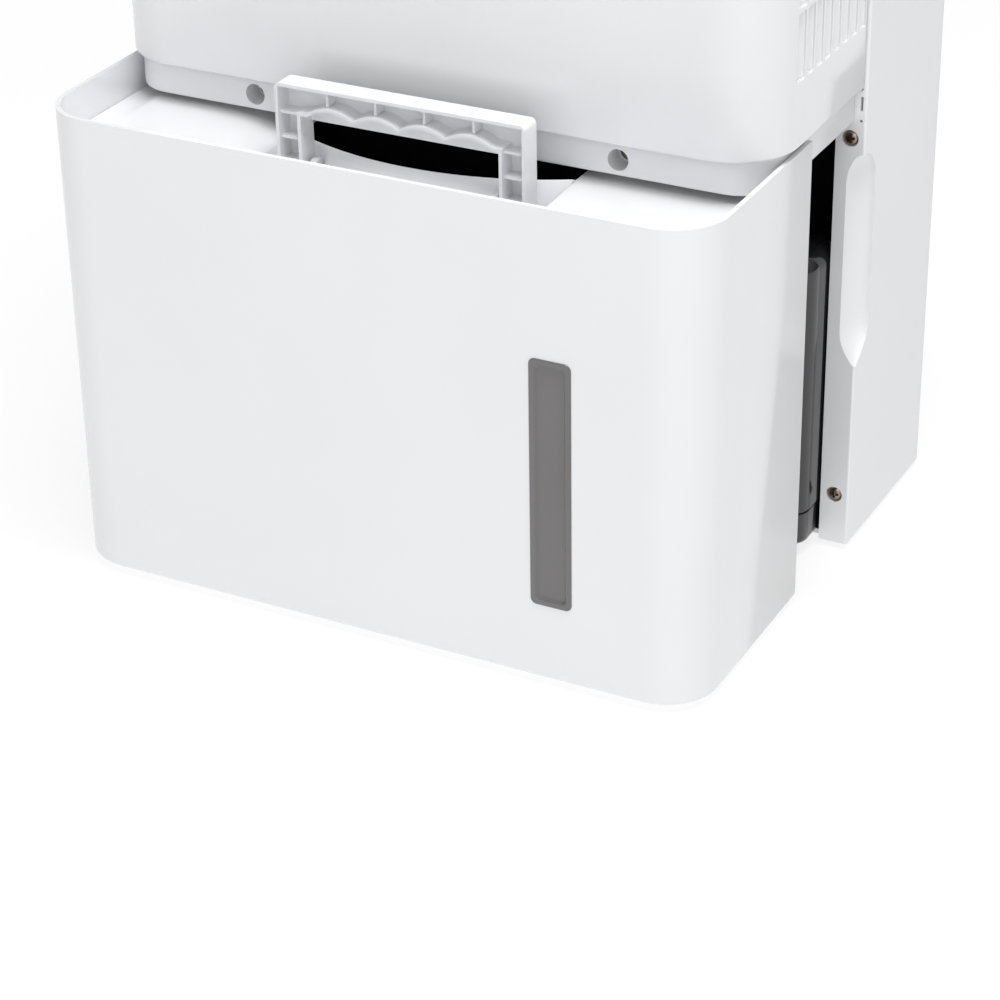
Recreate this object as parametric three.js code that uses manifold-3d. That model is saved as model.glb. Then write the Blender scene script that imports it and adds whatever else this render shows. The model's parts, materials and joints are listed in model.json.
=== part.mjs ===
// A compressor dehumidifier with a pull-out water bucket, as an assembly of separate pieces.
// Millimetres, +Z up, front towards -Y. Everything is drawn about the seam plane (Y = 0) where the
// front and rear casings meet, with Z = 0 on the floor; the last lines centre the whole on its box.
import * as THREE from "three";
import { mergeVertices } from "three/addons/utils/BufferGeometryUtils.js";
import Module from "manifold-3d";

const wasm = await Module();
wasm.setup();

// ---------- driving dimensions ----------
const wall = 2.4;
const gap = 0.3; // between pieces that rest on each other
const seam = 0.6; // between outer shells
const footHeight = 4;
const height = 500;

const rear = { halfWidth: 193, depth: 122, corner: 10 };
const front = { halfWidth: 191.2, face: -124.3, corner: 35, bottom: 274.5, edge: 2 };
const shellTop = 462;
const skirt = { halfWidth: 186.2, face: -117, corner: 24, bottom: 255.2, plate: 269 };
const skirtWell = { x: 105.7, z: 263.8, radius: 5.75, depth: 13 };
const flange = { inner: 176.5, thickness: 4.4, screwX: 184.5, screwLow: 34, screwHigh: 246 };
const screwHead = { depth: 2.2, sunk: 2.6, radius: 4.2, shank: 2, bore: 2.3, boreDepth: 17 };
const scoop = { across: 9.5, back: 18, tip: 114, wideFrom: 134, wideTo: 219, top: 238 };
const grille = { y0: -94.3, y1: -3.4, slots: 8, bar: 2.6, z0: 310, rowHeight: 35.6, rowPitch: 37.6, rows: 3 };
const snap = { x: 190.2, width: 1.4, z0: 262, z1: 270 };
const cord = { x: 150, z: 60, hole: 4.2, bush: 8, flange: 11 };
const carryPocket = { y0: 46, y1: 100, z0: 398, z1: 426, depth: 20, corner: 8 };
const foot = { radius: 10, topRadius: 12, x: 160, yFront: 20, yRear: 100 };
const intake = { halfWidth: 142, z0: 284, z1: 444, proud: 4 };

const travel = 66; // bucket, from this open position to closed
const bucket = { halfWidth: 189.5, face: -200, corner: 30, rim: 270, bottom: footHeight, wall: 2.5, foot: 3 };
const bucketRear = -travel - seam;
const tank = { halfWidth: 175.3, front: -196.8, rear: -66.6, corner: 12, floor: 8, wall: 2.2, foot: 3 };
const lobe = { x: 60, neck: 162, bulge: -23, rear: 22, top: 182, shoulder: 9 };
const deck = { z: 250, thickness: 2.4 };
const recess = { halfWidth: 84, floor: 231, lip: -143.5, lipEnd: -121, lipTop: 251, rear: -76 };
const level = { x0: 96.5, x1: 120, z0: 49, z1: 189.5, corner: 3.5, proud: 0.8, border: 2.6 };

const handle = {
  pivotY: -146,
  pivotZ: 238.5,
  top: 288.6,
  barLow: 266.5,
  halfWidth: 71.7,
  leg: 14.7,
  depth: 13,
  wall: 1.8,
  scallops: 4,
  scallopRise: 4.5,
};
const float = { x: -120, pivotY: -82, z: 236, length: 70 };
const handlePin = { radius: 2.4, bore: 2.7, inner: 51, outer: 70 };

const tray = { halfWidth: 130, y0: 38, y1: 112, channelHalf: 14, channelFront: -46, channelHeight: 14 };
const spout = { y: -34, radius: 8, bore: 6 };
const fan = { x: -20, z: 372, wheelRadius: 60, scrollRadius: 80, y0: -88, y1: -10, blades: 12 };
const coil = { halfWidth: 124, z0: 296, z1: 440, evaporatorY: [86, 108], condenserY: [46, 80], fins: 9 };
const compressor = { x: -70, y: 62, radius: 47, z0: 24, z1: 232 };
const accumulator = { x: 8, y: 92, radius: 19, z0: 70, z1: 190, neck: 4 };
const panel = { halfWidth: 104, y0: -108, y1: -44, corner: 12, z: 498.4, thickness: 2 };
const display = { halfWidth: 30, y0: -100, y1: -80 };
const board = { halfWidth: 92, y0: -104, y1: -48, top: 486, thickness: 1.6, switchHeight: 3 };
const button = { radius: 7, y: -62, pitch: 30, travel: 1.2 };
const buttonNames = ["power", "mode", "humidity", "fan_speed", "timer"];

const closedRear = rear.depth + intake.proud;
const openFront = bucket.face - level.proud;

// ---------- shapes and booleans ----------
/** Two values, mirrored to that side of the middle and put in rising order. */
const mirrored = (side, a, b) => [side * a, side * b].sort((p, q) => p - q);

const X = new THREE.Vector3(1, 0, 0);
const Y = new THREE.Vector3(0, 1, 0);
const Z = new THREE.Vector3(0, 0, 1);

/** A manifold-3d solid from a closed three.js geometry. */
function solid(geometry) {
  const bare = geometry.clone();
  bare.deleteAttribute("normal");
  bare.deleteAttribute("uv");
  const merged = mergeVertices(bare, 1e-4);
  const index = merged.index.array;
  return new wasm.Manifold(
    new wasm.Mesh({
      numProp: 3,
      vertProperties: new Float32Array(merged.attributes.position.array),
      triVerts: new Uint32Array(index),
    }),
  );
}

/** A three.js geometry from a manifold-3d solid. */
function geometryOf(made) {
  const mesh = made.getMesh();
  const flat = new Float32Array(mesh.numVert * 3);
  for (let i = 0; i < mesh.numVert; i++) {
    flat.set(mesh.vertProperties.subarray(i * mesh.numProp, i * mesh.numProp + 3), i * 3);
  }
  const geometry = new THREE.BufferGeometry();
  geometry.setAttribute("position", new THREE.BufferAttribute(flat, 3));
  geometry.setIndex(new THREE.BufferAttribute(new Uint32Array(mesh.triVerts), 1));
  geometry.computeVertexNormals();
  return geometry;
}

const join = (first, ...rest) => rest.reduce((sum, piece) => sum.add(piece), first);
const cut = (first, ...rest) => rest.reduce((left, piece) => left.subtract(piece), first);

/** A box between two values on each axis. */
function block([x0, x1], [y0, y1], [z0, z1]) {
  const box = new THREE.BoxGeometry(x1 - x0, y1 - y0, z1 - z0);
  return solid(box.translate((x0 + x1) / 2, (y0 + y1) / 2, (z0 + z1) / 2));
}

/** An outline extruded between two heights; edge rounds both ends by that radius. */
function extruded(shape, low, high, { edge = 0, curveSegments = 6 } = {}) {
  const geometry = new THREE.ExtrudeGeometry(shape, {
    depth: high - low - 2 * edge,
    bevelEnabled: edge > 0,
    bevelThickness: edge,
    bevelSize: edge,
    bevelOffset: -edge,
    bevelSegments: 2,
    curveSegments,
  });
  return geometry.translate(0, 0, low + edge);
}

const upright = (shape, z0, z1, options) => solid(extruded(shape, z0, z1, options));

/** An outline drawn in (X, Z), extruded along Y. */
function alongY(shape, y0, y1, options) {
  const upended = new THREE.Matrix4().makeBasis(X, Z, Y.clone().negate());
  return solid(extruded(shape, -y1, -y0, options).applyMatrix4(upended));
}

/** An outline drawn in (Y, Z), extruded along X. */
function alongX(shape, x0, x1, options) {
  const sideways = new THREE.Matrix4().makeBasis(Y, Z, X);
  return solid(extruded(shape, x0, x1, options).applyMatrix4(sideways));
}

/** A rectangle with its four corners rounded. */
function roundedRect(x0, x1, y0, y1, r) {
  const shape = new THREE.Shape();
  shape.moveTo(x0 + r, y0);
  shape.lineTo(x1 - r, y0);
  shape.absarc(x1 - r, y0 + r, r, -Math.PI / 2, 0);
  shape.lineTo(x1, y1 - r);
  shape.absarc(x1 - r, y1 - r, r, 0, Math.PI / 2);
  shape.lineTo(x0 + r, y1);
  shape.absarc(x0 + r, y1 - r, r, Math.PI / 2, Math.PI);
  shape.lineTo(x0, y0 + r);
  shape.absarc(x0 + r, y0 + r, r, Math.PI, 1.5 * Math.PI);
  return shape;
}

/** A plan outline, rounded at the two front corners and separately at the two rear ones. */
function plan(halfWidth, yFront, yRear, frontRadius, rearRadius = 0) {
  const shape = new THREE.Shape();
  shape.moveTo(-halfWidth + frontRadius, yFront);
  shape.lineTo(halfWidth - frontRadius, yFront);
  if (frontRadius) {
    shape.absarc(halfWidth - frontRadius, yFront + frontRadius, frontRadius, -Math.PI / 2, 0);
  }
  shape.lineTo(halfWidth, yRear - rearRadius);
  if (rearRadius) {
    shape.absarc(halfWidth - rearRadius, yRear - rearRadius, rearRadius, 0, Math.PI / 2);
  }
  shape.lineTo(-halfWidth + rearRadius, yRear);
  if (rearRadius) {
    shape.absarc(-halfWidth + rearRadius, yRear - rearRadius, rearRadius, Math.PI / 2, Math.PI);
  }
  shape.lineTo(-halfWidth, yFront + frontRadius);
  if (frontRadius) {
    shape.absarc(-halfWidth + frontRadius, yFront + frontRadius, frontRadius, Math.PI, 1.5 * Math.PI);
  }
  return shape;
}

/** A round bar along an axis ("x", "y" or "z") between two values, centred at the other two. */
function rod(axis, centre, from, to, radius, { end = radius, sides = 20 } = {}) {
  const cylinder = new THREE.CylinderGeometry(end, radius, to - from, sides);
  const middle = (from + to) / 2;
  if (axis === "x") {
    return solid(cylinder.rotateZ(-Math.PI / 2).translate(middle, centre[0], centre[1]));
  }
  if (axis === "y") {
    return solid(cylinder.translate(centre[0], middle, centre[1]));
  }
  return solid(cylinder.rotateX(Math.PI / 2).translate(centre[0], centre[1], middle));
}

/** A closed body turned about a vertical axis from (radius, height) points. */
function turned(points, x, y, sides = 28) {
  const profile = points.map(([r, z]) => new THREE.Vector2(r, z));
  return solid(new THREE.LatheGeometry(profile, sides).rotateX(Math.PI / 2).translate(x, y, 0));
}

/** A pipe along a smooth curve through the points. */
function pipe(points, radius, steps) {
  const stops = points.map((p) => new THREE.Vector3(...p));
  const curve = new THREE.CatmullRomCurve3(stops, false, "centripetal");
  const section = new THREE.Shape().absarc(0, 0, radius, 0, 2 * Math.PI);
  return solid(new THREE.ExtrudeGeometry(section, { steps, extrudePath: curve, curveSegments: 3 }));
}

// ---------- the assembly ----------
const assembly = new THREE.Group();

/** Adds one named piece to the assembly. */
function add(name, made, material) {
  const mesh = new THREE.Mesh(geometryOf(made), material);
  mesh.name = name;
  assembly.add(mesh);
}

function finish(color, roughness, metalness = 0) {
  return new THREE.MeshStandardMaterial({ color, roughness, metalness });
}

const whiteGloss = finish(0xf2f2f3, 0.22);
const whiteSatin = finish(0xe9e9eb, 0.45);
const smoke = finish(0x2a2a2c, 0.15);
const greyClear = finish(0x77777a, 0.2);
const blackPlastic = finish(0x18181a, 0.5);
const darkGloss = finish(0x101114, 0.1);
const rubber = finish(0x202022, 0.85);
const darkNickel = finish(0x8c857c, 0.35, 1);
const steel = finish(0x9a9c9f, 0.4, 1);
const blackPaint = finish(0x1b1c1e, 0.4, 0.4);
const aluminium = finish(0xc4c6c8, 0.35, 1);
const copper = finish(0xb87245, 0.3, 1);
const circuitGreen = finish(0x1f5a35, 0.6);
const filterGrey = finish(0x55585c, 0.8);

// ---------- outer shells ----------
function rearCasing() {
  const outer = upright(plan(rear.halfWidth, 0, rear.depth, 0, rear.corner), footHeight, shellTop);
  const inside = plan(rear.halfWidth - wall, -1, rear.depth - wall, 0, rear.corner - wall);
  let shell = cut(outer, upright(inside, footHeight - 1, shellTop + 1));
  for (const side of [-1, 1]) {
    const flangeX = mirrored(side, flange.inner, rear.halfWidth - 1);
    const pillar = block(flangeX, [0, scoop.back + 4], [scoop.tip - 8, scoop.top + 8]);
    const strip = block(flangeX, [0, flange.thickness], [footHeight, front.bottom - 1]);
    shell = join(shell, strip, pillar);
    shell = cut(shell, fingerScoop(side), snapSlot(side));
    for (const z of [flange.screwLow, flange.screwHigh]) {
      const at = [side * flange.screwX, z];
      shell = cut(shell, rod("y", at, -1, screwHead.boreDepth, screwHead.bore, { sides: 12 }));
      shell = cut(shell, rod("y", at, -1, screwHead.sunk, screwHead.radius + 0.5, { sides: 20 }));
    }
    shell = cut(shell, carryPocketHole(side));
  }
  const opening = roundedRect(-intake.halfWidth + 6, intake.halfWidth - 6, intake.z0 + 6, intake.z1 - 6, 6);
  shell = cut(shell, alongY(opening, rear.depth - 2 * wall, rear.depth + 1, { curveSegments: 3 }));
  const inletHole = rod("y", [cord.x, cord.z], rear.depth - 2 * wall, rear.depth + 1, cord.bush + gap);
  return cut(shell, inletHole);
}

/** The hollow a finger reaches the bucket's edge by: tall and narrow, with an arch above a pointed foot. */
function fingerScoop(side) {
  const { back, tip, wideFrom, wideTo, top } = scoop;
  const points = [
    [0, tip],
    [back * 0.58, tip + 0.3 * (wideFrom - tip)],
    [back * 0.88, tip + 0.62 * (wideFrom - tip)],
    [back, wideFrom],
  ];
  const archSteps = 4;
  for (let i = 0; i <= archSteps; i++) {
    const angle = (i / archSteps) * (Math.PI / 2);
    const reach = i === archSteps ? 0 : back * Math.cos(angle);
    points.push([reach, wideTo + (top - wideTo) * Math.sin(angle)]);
  }
  const profile = points.map(([r, z]) => new THREE.Vector2(r, z));
  const hollow = new THREE.LatheGeometry(profile, 24).rotateX(Math.PI / 2);
  hollow.scale(scoop.across / back, 1, 1).translate(side * rear.halfWidth, 0, 0);
  return solid(hollow);
}

/** The narrow slot in the flange that a hook of the bay panel snaps into. */
function snapSlot(side) {
  const x = mirrored(side, snap.x - snap.width / 2, snap.x + snap.width / 2);
  return block(x, [-1, flange.thickness + 1], [snap.z0, snap.z1]);
}

/** The hole in the side wall that a hand reaches a carry grip through. */
function carryPocketHole(side) {
  const { y0, y1, z0, z1, corner } = carryPocket;
  const x = mirrored(side, rear.halfWidth - 2 * wall, rear.halfWidth + 1);
  return alongX(roundedRect(y0, y1, z0, z1, corner), ...x, { curveSegments: 4 });
}

/** The cup behind a carry hole, that fingers curl into. */
function carryGrip(side) {
  const { y0, y1, z0, z1, depth, corner } = carryPocket;
  const cupWall = 2;
  const outerFace = rear.halfWidth - wall - gap;
  const outer = mirrored(side, outerFace - depth, outerFace);
  const inner = mirrored(side, outerFace - depth + cupWall, outerFace + 1);
  const around = roundedRect(y0 - cupWall, y1 + cupWall, z0 - cupWall, z1 + cupWall, corner + 1);
  const cup = alongX(around, ...outer, { curveSegments: 4 });
  return cut(cup, alongX(roundedRect(y0, y1, z0, z1, corner), ...inner, { curveSegments: 4 }));
}

function frontCasing() {
  const outline = plan(front.halfWidth, front.face, -seam, front.corner);
  const fine = { edge: front.edge, curveSegments: 8 };
  const rounded = upright(outline, front.bottom, shellTop + front.edge + 1, fine);
  const fullWidth = [-front.halfWidth, front.halfWidth];
  const squareBack = block(fullWidth, [-front.edge - 2, -seam], [front.bottom, shellTop]);
  const inside = plan(front.halfWidth - wall, front.face + wall, 1, front.corner - wall);
  let shell = join(rounded, squareBack);
  shell = cut(shell, upright(inside, front.bottom - 1, shellTop + 9, { curveSegments: 8 }));
  shell = cut(shell, everythingOver(shellTop));
  return cut(shell, ...outletSlots());
}

/** A block that holds whatever lies over a height. */
function everythingOver(z) {
  return block([-height, height], [-height, height], [z, height + 50]);
}

/** The rows of upright slots in the right-hand wall that the dry air leaves by. */
function outletSlots() {
  const slotWidth = (grille.y1 - grille.y0 - (grille.slots - 1) * grille.bar) / grille.slots;
  const throughWall = [front.halfWidth - 2 * wall, front.halfWidth + 1];
  const slots = [];
  for (let row = 0; row < grille.rows; row++) {
    const z0 = grille.z0 + row * grille.rowPitch;
    for (let i = 0; i < grille.slots; i++) {
      const y0 = grille.y0 + i * (slotWidth + grille.bar);
      slots.push(block(throughWall, [y0, y0 + slotWidth], [z0, z0 + grille.rowHeight]));
    }
  }
  return slots;
}

/** The bay's ceiling, whose skirt hangs inside the bucket's rim, with a hole for the drip spout. */
function bayTopPanel() {
  const { halfWidth, face, corner, bottom, plate } = skirt;
  const top = front.bottom - gap;
  const outer = upright(plan(halfWidth, face, -seam, corner), bottom, top);
  const hollow = upright(plan(halfWidth - wall, face + wall, 1, corner - wall), bottom - 1, plate);
  let made = cut(outer, hollow);
  for (const x of [-skirtWell.x, skirtWell.x]) {
    const at = [x, skirtWell.z];
    const wellEnd = face + skirtWell.depth;
    made = join(made, rod("y", at, face + 1, wellEnd + 4, skirtWell.radius + 2));
    made = cut(made, rod("y", at, face - 1, wellEnd, skirtWell.radius));
    made = cut(made, rod("y", at, face, wellEnd + 6, screwHead.bore, { sides: 12 }));
  }
  return cut(made, rod("z", [0, spout.y], plate - 2, top + 1, spout.radius + 1));
}

function topCover() {
  const outlineOf = (d) =>
    plan(front.halfWidth - d, front.face + d, rear.depth - d, front.corner - d, rear.corner - d);
  const roundTop = upright(outlineOf(0), shellTop - 20, height, { edge: 9, curveSegments: 8 });
  const panelOf = (d) =>
    roundedRect(-panel.halfWidth + d, panel.halfWidth - d, panel.y0 + d, panel.y1 - d, panel.corner);
  const ledge = 6;
  const seatFloor = panel.z - panel.thickness - gap;
  const above = everythingOver(shellTop + gap);
  const shell = cut(roundTop.intersect(above), upright(outlineOf(wall), shellTop - 30, seatFloor - wall));
  const seat = upright(panelOf(-gap), seatFloor, height + 1);
  return cut(shell, seat, upright(panelOf(ledge), seatFloor - 2 * wall, height + 1));
}

add("rear_casing", rearCasing(), whiteSatin);
add("front_casing", frontCasing(), whiteGloss);
add("bay_top_panel", bayTopPanel(), whiteGloss);
add("top_cover", topCover(), whiteGloss);
add("carry_grip_left", carryGrip(-1), whiteSatin);
add("carry_grip_right", carryGrip(1), whiteSatin);

// ---------- base, bay and feet ----------
const baseTop = 7.2;

/** The floor of the machine, with two runners that the closed bucket stands on. */
function basePan() {
  const halfWidth = rear.halfWidth - wall - gap;
  const outline = plan(halfWidth, flange.thickness + gap, rear.depth - wall - gap, 0, rear.corner - wall);
  let pan = upright(outline, footHeight + gap, baseTop);
  for (const x of [90, 150]) {
    const runner = block([x - 3, x + 3], [flange.thickness + 2, 60], [baseTop - 1, tank.floor - gap]);
    pan = join(pan, runner);
  }
  return pan;
}

const bay = { front: 5, side: lobe.x - 8, back: lobe.rear + travel + 10, right: flange.inner - gap };

/** The upright walls and ceiling that keep the bucket bay apart from the compressor. */
function bayLiner() {
  const corners = [
    [-bay.right, bay.front],
    [bay.side, bay.front],
    [bay.side, bay.back],
    [bay.right, bay.back],
    [bay.right, bay.back + wall],
    [bay.side - wall, bay.back + wall],
    [bay.side - wall, bay.front + wall],
    [-bay.right, bay.front + wall],
  ];
  const outline = new THREE.Shape(corners.map(([x, y]) => new THREE.Vector2(x, y)));
  const walls = upright(outline, baseTop + gap, skirt.plate);
  const ceilingX = [bay.side - wall, bay.right];
  return join(walls, block(ceilingX, [bay.front, bay.back + wall], [skirt.plate - wall, skirt.plate]));
}

add("base_pan", basePan(), steel);
add("bay_liner", bayLiner(), blackPlastic);
for (const [end, y] of [["front", foot.yFront], ["rear", foot.yRear]]) {
  for (const [sideName, side] of [["left", -1], ["right", 1]]) {
    const disc = rod("z", [side * foot.x, y], 0, footHeight, foot.radius, { end: foot.topRadius });
    add(`foot_${end}_${sideName}`, disc, rubber);
  }
}

/** A pan-head screw lying along Y, with a cross recess in its head. */
function screw(x, z, yHead) {
  const { depth, radius, shank, boreDepth } = screwHead;
  const head = rod("y", [x, z], yHead, yHead + depth, radius, { end: radius * 1.02, sides: 16 });
  const thread = rod("y", [x, z], yHead + depth - 0.5, yHead + boreDepth - 3, shank, { sides: 8 });
  const arm = radius * 0.55;
  const blade = 0.6;
  const recessY = [yHead - 1, yHead + depth / 2];
  const crossX = block([x - arm, x + arm], recessY, [z - blade, z + blade]);
  const crossZ = block([x - blade, x + blade], recessY, [z - arm, z + arm]);
  return cut(join(head, thread), crossX, crossZ);
}

for (const [sideName, side] of [["left", -1], ["right", 1]]) {
  for (const [level, z] of [["lower", flange.screwLow], ["upper", flange.screwHigh]]) {
    const headFace = screwHead.sunk - screwHead.depth - gap;
    add(`flange_screw_${sideName}_${level}`, screw(side * flange.screwX, z, headFace), darkNickel);
  }
  const wellHead = skirt.face + skirtWell.depth - screwHead.depth - gap;
  add(`panel_screw_${sideName}`, screw(side * skirtWell.x, skirtWell.z, wellHead), darkNickel);
}

// ---------- controls ----------
const buttonX = (i) => (i - (buttonNames.length - 1) / 2) * button.pitch;

function controlPanel() {
  const { halfWidth, y0, y1, corner, z, thickness } = panel;
  const plate = upright(roundedRect(-halfWidth, halfWidth, y0, y1, corner), z - thickness, z);
  const through = [z - 5, z + 5];
  const holes = buttonNames.map((_, i) => rod("z", [buttonX(i), button.y], ...through, button.radius + 0.4));
  const opening = block([-display.halfWidth, display.halfWidth], [display.y0, display.y1], through);
  return cut(plate, ...holes, opening);
}

function displayWindow() {
  const top = panel.z - gap;
  const half = display.halfWidth - gap;
  const outline = roundedRect(-half, half, display.y0 + gap, display.y1 - gap, 1);
  return upright(outline, top - 1.8, top, { curveSegments: 2 });
}

/** The board behind the panel, with its display module and one tactile switch per button. */
function controlBoard() {
  const { halfWidth, y0, y1, top, thickness, switchHeight } = board;
  const module = block([-26, 26], [display.y0 + 2, display.y1 - 2], [top - 0.5, top + 6]);
  let made = join(block([-halfWidth, halfWidth], [y0, y1], [top - thickness, top]), module);
  buttonNames.forEach((_, i) => {
    const x = buttonX(i);
    const footprint = [[x - 3, x + 3], [button.y - 3, button.y + 3]];
    made = join(made, block(...footprint, [top - 0.5, top + switchHeight]));
  });
  return made;
}

/** A round key: a cap through the panel and a flange under it that keeps it in. */
function keyCap(i) {
  const at = [buttonX(i), button.y];
  const flangeTop = panel.z - panel.thickness - 0.5;
  const flangeLow = flangeTop - 1.6;
  const stemLow = board.top + board.switchHeight + button.travel + 0.2;
  const cap = rod("z", at, flangeLow, height - 0.5, button.radius);
  const flangeRing = rod("z", at, flangeLow, flangeTop, button.radius + 1.6);
  return join(cap, flangeRing, rod("z", at, stemLow, flangeTop - 1, 2, { sides: 8 }));
}

add("control_panel", controlPanel(), darkGloss);
add("display_window", displayWindow(), darkGloss);
add("control_board", controlBoard(), circuitGreen);
buttonNames.forEach((name, i) => add(`${name}_button`, keyCap(i), whiteGloss));

// ---------- air path ----------
/** A finned block with the U-bends of its tube standing out at both ends. */
function finnedCoil([y0, y1], tubeRows) {
  const { halfWidth, z0, z1, fins } = coil;
  const pitch = (2 * halfWidth) / fins;
  const middle = (y0 + y1) / 2;
  const web = 2;
  const endPlate = 4;
  let made = block([-halfWidth, halfWidth], [y0, y1], [z0, z1]);
  for (let i = 0; i < fins; i++) {
    const x = -halfWidth + (i + 0.5) * pitch;
    const betweenFins = [x - pitch * 0.36, x + pitch * 0.36];
    const betweenPlates = [z0 + endPlate, z1 - endPlate];
    made = cut(made, block(betweenFins, [y0 - 1, middle - web], betweenPlates));
    made = cut(made, block(betweenFins, [middle + web, y1 + 1], betweenPlates));
  }
  const bend = { out: 5, half: 6, radius: 4, margin: 20 };
  for (let i = 0; i < tubeRows; i++) {
    const z = z0 + bend.margin + (i * (z1 - z0 - 2 * bend.margin)) / (tubeRows - 1);
    const along = [middle - bend.half, middle + bend.half];
    const outside = -halfWidth - bend.out;
    made = join(made, rod("y", [outside, z], ...along, bend.radius, { sides: 10 }));
    made = join(made, block([outside, -halfWidth + 1], along, [z - bend.radius, z + bend.radius]));
  }
  return made;
}

add("evaporator", finnedCoil(coil.evaporatorY, 4), aluminium);
add("condenser", finnedCoil(coil.condenserY, 5), aluminium);

/** The spiral housing round the fan, with its duct to the outlet slots. */
function fanScroll() {
  const { x, z, scrollRadius, wheelRadius, y0, y1 } = fan;
  const ductEnd = front.halfWidth - wall - gap;
  const body = (inset, lengthen) => {
    const along = [y0 + inset, y1 - inset];
    const drum = rod("y", [x, z], ...along, scrollRadius - inset, { sides: 40 });
    const ductZ = [grille.z0 - 2 + inset, z + scrollRadius / 1.5 - inset];
    return join(drum, block([x, ductEnd + lengthen], along, ductZ));
  };
  const eye = rod("y", [x, z], y1 - 3, y1 + 1, wheelRadius - 10, { sides: 32 });
  const shaftHole = rod("y", [x, z], y0 - 1, y0 + 3, 12);
  return cut(body(0, 0), body(2, 3), eye, shaftHole);
}

/** A drum of upright blades between a back plate with a hub and a front ring. */
function fanWheel() {
  const { x, z, wheelRadius, y0, y1, blades } = fan;
  const back = y0 + 8;
  const mouth = y1 - 10;
  const backPlate = rod("y", [x, z], back, back + 2, wheelRadius, { sides: 32 });
  let wheel = join(backPlate, rod("y", [x, z], back, back + 22, 9));
  const ring = cut(
    rod("y", [x, z], mouth - 3, mouth, wheelRadius, { sides: 32 }),
    rod("y", [x, z], mouth - 5, mouth + 2, wheelRadius - 11, { sides: 32 }),
  );
  wheel = join(wheel, ring);
  for (let i = 0; i < blades; i++) {
    const angle = (i / blades) * 2 * Math.PI;
    const blade = new THREE.BoxGeometry(9.5, mouth - back - 2, 1.6).translate(wheelRadius - 5.6, 0, 0);
    blade.rotateY(angle).translate(x, (mouth + back) / 2, z);
    wheel = join(wheel, solid(blade));
  }
  return cut(wheel, rod("y", [x, z], back - 2, back + 30, 3.3, { sides: 16 }));
}

/** The motor in front of the scroll, with its shaft through to the wheel. */
function fanMotor() {
  const { x, z, y0 } = fan;
  const can = rod("y", [x, z], y0 - 30, y0 - 3, 36, { sides: 32 });
  const plate = block([x - 44, x + 44], [y0 - 3.5, y0 - gap], [z - 8, z + 8]);
  return join(can, plate, rod("y", [x, z], y0 - 6, y0 + 28, 3, { sides: 16 }));
}

add("fan_scroll", fanScroll(), blackPlastic);
add("fan_wheel", fanWheel(), blackPlastic);
add("fan_motor", fanMotor(), steel);

/** The pull-off grille over the rear air intake. */
function intakeGrille() {
  const { halfWidth, z0, z1, proud } = intake;
  const back = rear.depth + proud;
  const outlineOf = (d, r) => roundedRect(-halfWidth + d, halfWidth - d, z0 + d, z1 - d, r);
  const margin = 12;
  const slots = 12;
  const pitch = (z1 - z0 - 2 * margin) / slots;
  const barHalf = 2;
  const mullionHalf = 3;
  let made = alongY(outlineOf(0, 8), rear.depth + gap, back, { curveSegments: 4 });
  for (let i = 0; i < slots; i++) {
    const z = z0 + margin + i * pitch;
    for (const side of [-1, 1]) {
      const x = mirrored(side, mullionHalf, halfWidth - margin);
      made = cut(made, block(x, [rear.depth - 1, back + 1], [z + barHalf, z + pitch - barHalf]));
    }
  }
  const plug = alongY(outlineOf(7, 6), rear.depth - 6, rear.depth + 1, { curveSegments: 3 });
  const plugHollow = alongY(outlineOf(10, 3), rear.depth - 9, rear.depth + 2, { curveSegments: 1 });
  return join(made, cut(plug, plugHollow));
}

/** The washable mesh filter held inside the intake grille. */
function airFilter() {
  const { halfWidth, z0, z1 } = intake;
  const margin = 11.5;
  const rim = 4.5;
  const inner = halfWidth - margin;
  const faces = [rear.depth - 5, rear.depth - 2];
  let made = block([-inner, inner], faces, [z0 + margin, z1 - margin]);
  const panels = 6;
  const width = (2 * inner - rim) / panels;
  for (let i = 0; i < panels; i++) {
    const x = -inner + rim / 2 + i * width;
    const meshY = [faces[0] - 1, faces[0] + 1.8];
    made = cut(made, block([x + 1.5, x + width - 1.5], meshY, [z0 + margin + rim, z1 - margin - rim]));
  }
  return made;
}

add("intake_grille", intakeGrille(), whiteSatin);
add("air_filter", airFilter(), filterGrey);

// ---------- refrigeration ----------
function compressorBody() {
  const { x, y, radius, z0, z1 } = compressor;
  const profile = [[0, z0], [radius * 0.82, z0], [radius, z0 + 12], [radius, z1 - 18]];
  profile.push([radius * 0.9, z1 - 6], [radius * 0.6, z1 - 1], [0, z1]);
  const can = turned(profile, x, y);
  const feet = upright(roundedRect(x - 56, x + 56, y - 50, y + 50, 14), z0 - 3, z0 + 1, { curveSegments: 4 });
  return join(can, feet, rod("z", [x, y], z1 - 2, z1 + 6, 5, { sides: 12 }));
}

add("compressor", compressorBody(), blackPaint);
for (const [name, dx, dy] of [["left", -46, 38], ["right", 46, 38], ["front", 0, -43]]) {
  const at = [compressor.x + dx, compressor.y + dy];
  const mount = rod("z", at, baseTop + gap, compressor.z0 - 3 - gap, 7, { sides: 16 });
  add(`compressor_mount_${name}`, mount, rubber);
}

/** The receiver on the suction side: a domed can with a short neck on top. */
function accumulatorCan() {
  const { x, y, radius, z0, z1, neck } = accumulator;
  const profile = [
    [0, z0],
    [radius * 0.63, z0 + 2],
    [radius, z0 + 12],
    [radius, z1 - 12],
    [radius * 0.63, z1 - 2],
    [neck, z1],
    [neck, z1 + 8],
    [0, z1 + 8],
  ];
  return turned(profile, x, y, 20);
}

add("accumulator", accumulatorCan(), blackPaint);
add("run_capacitor", rod("z", [20, 34], baseTop + gap, baseTop + 75, 17, { sides: 24 }), aluminium);

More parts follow.
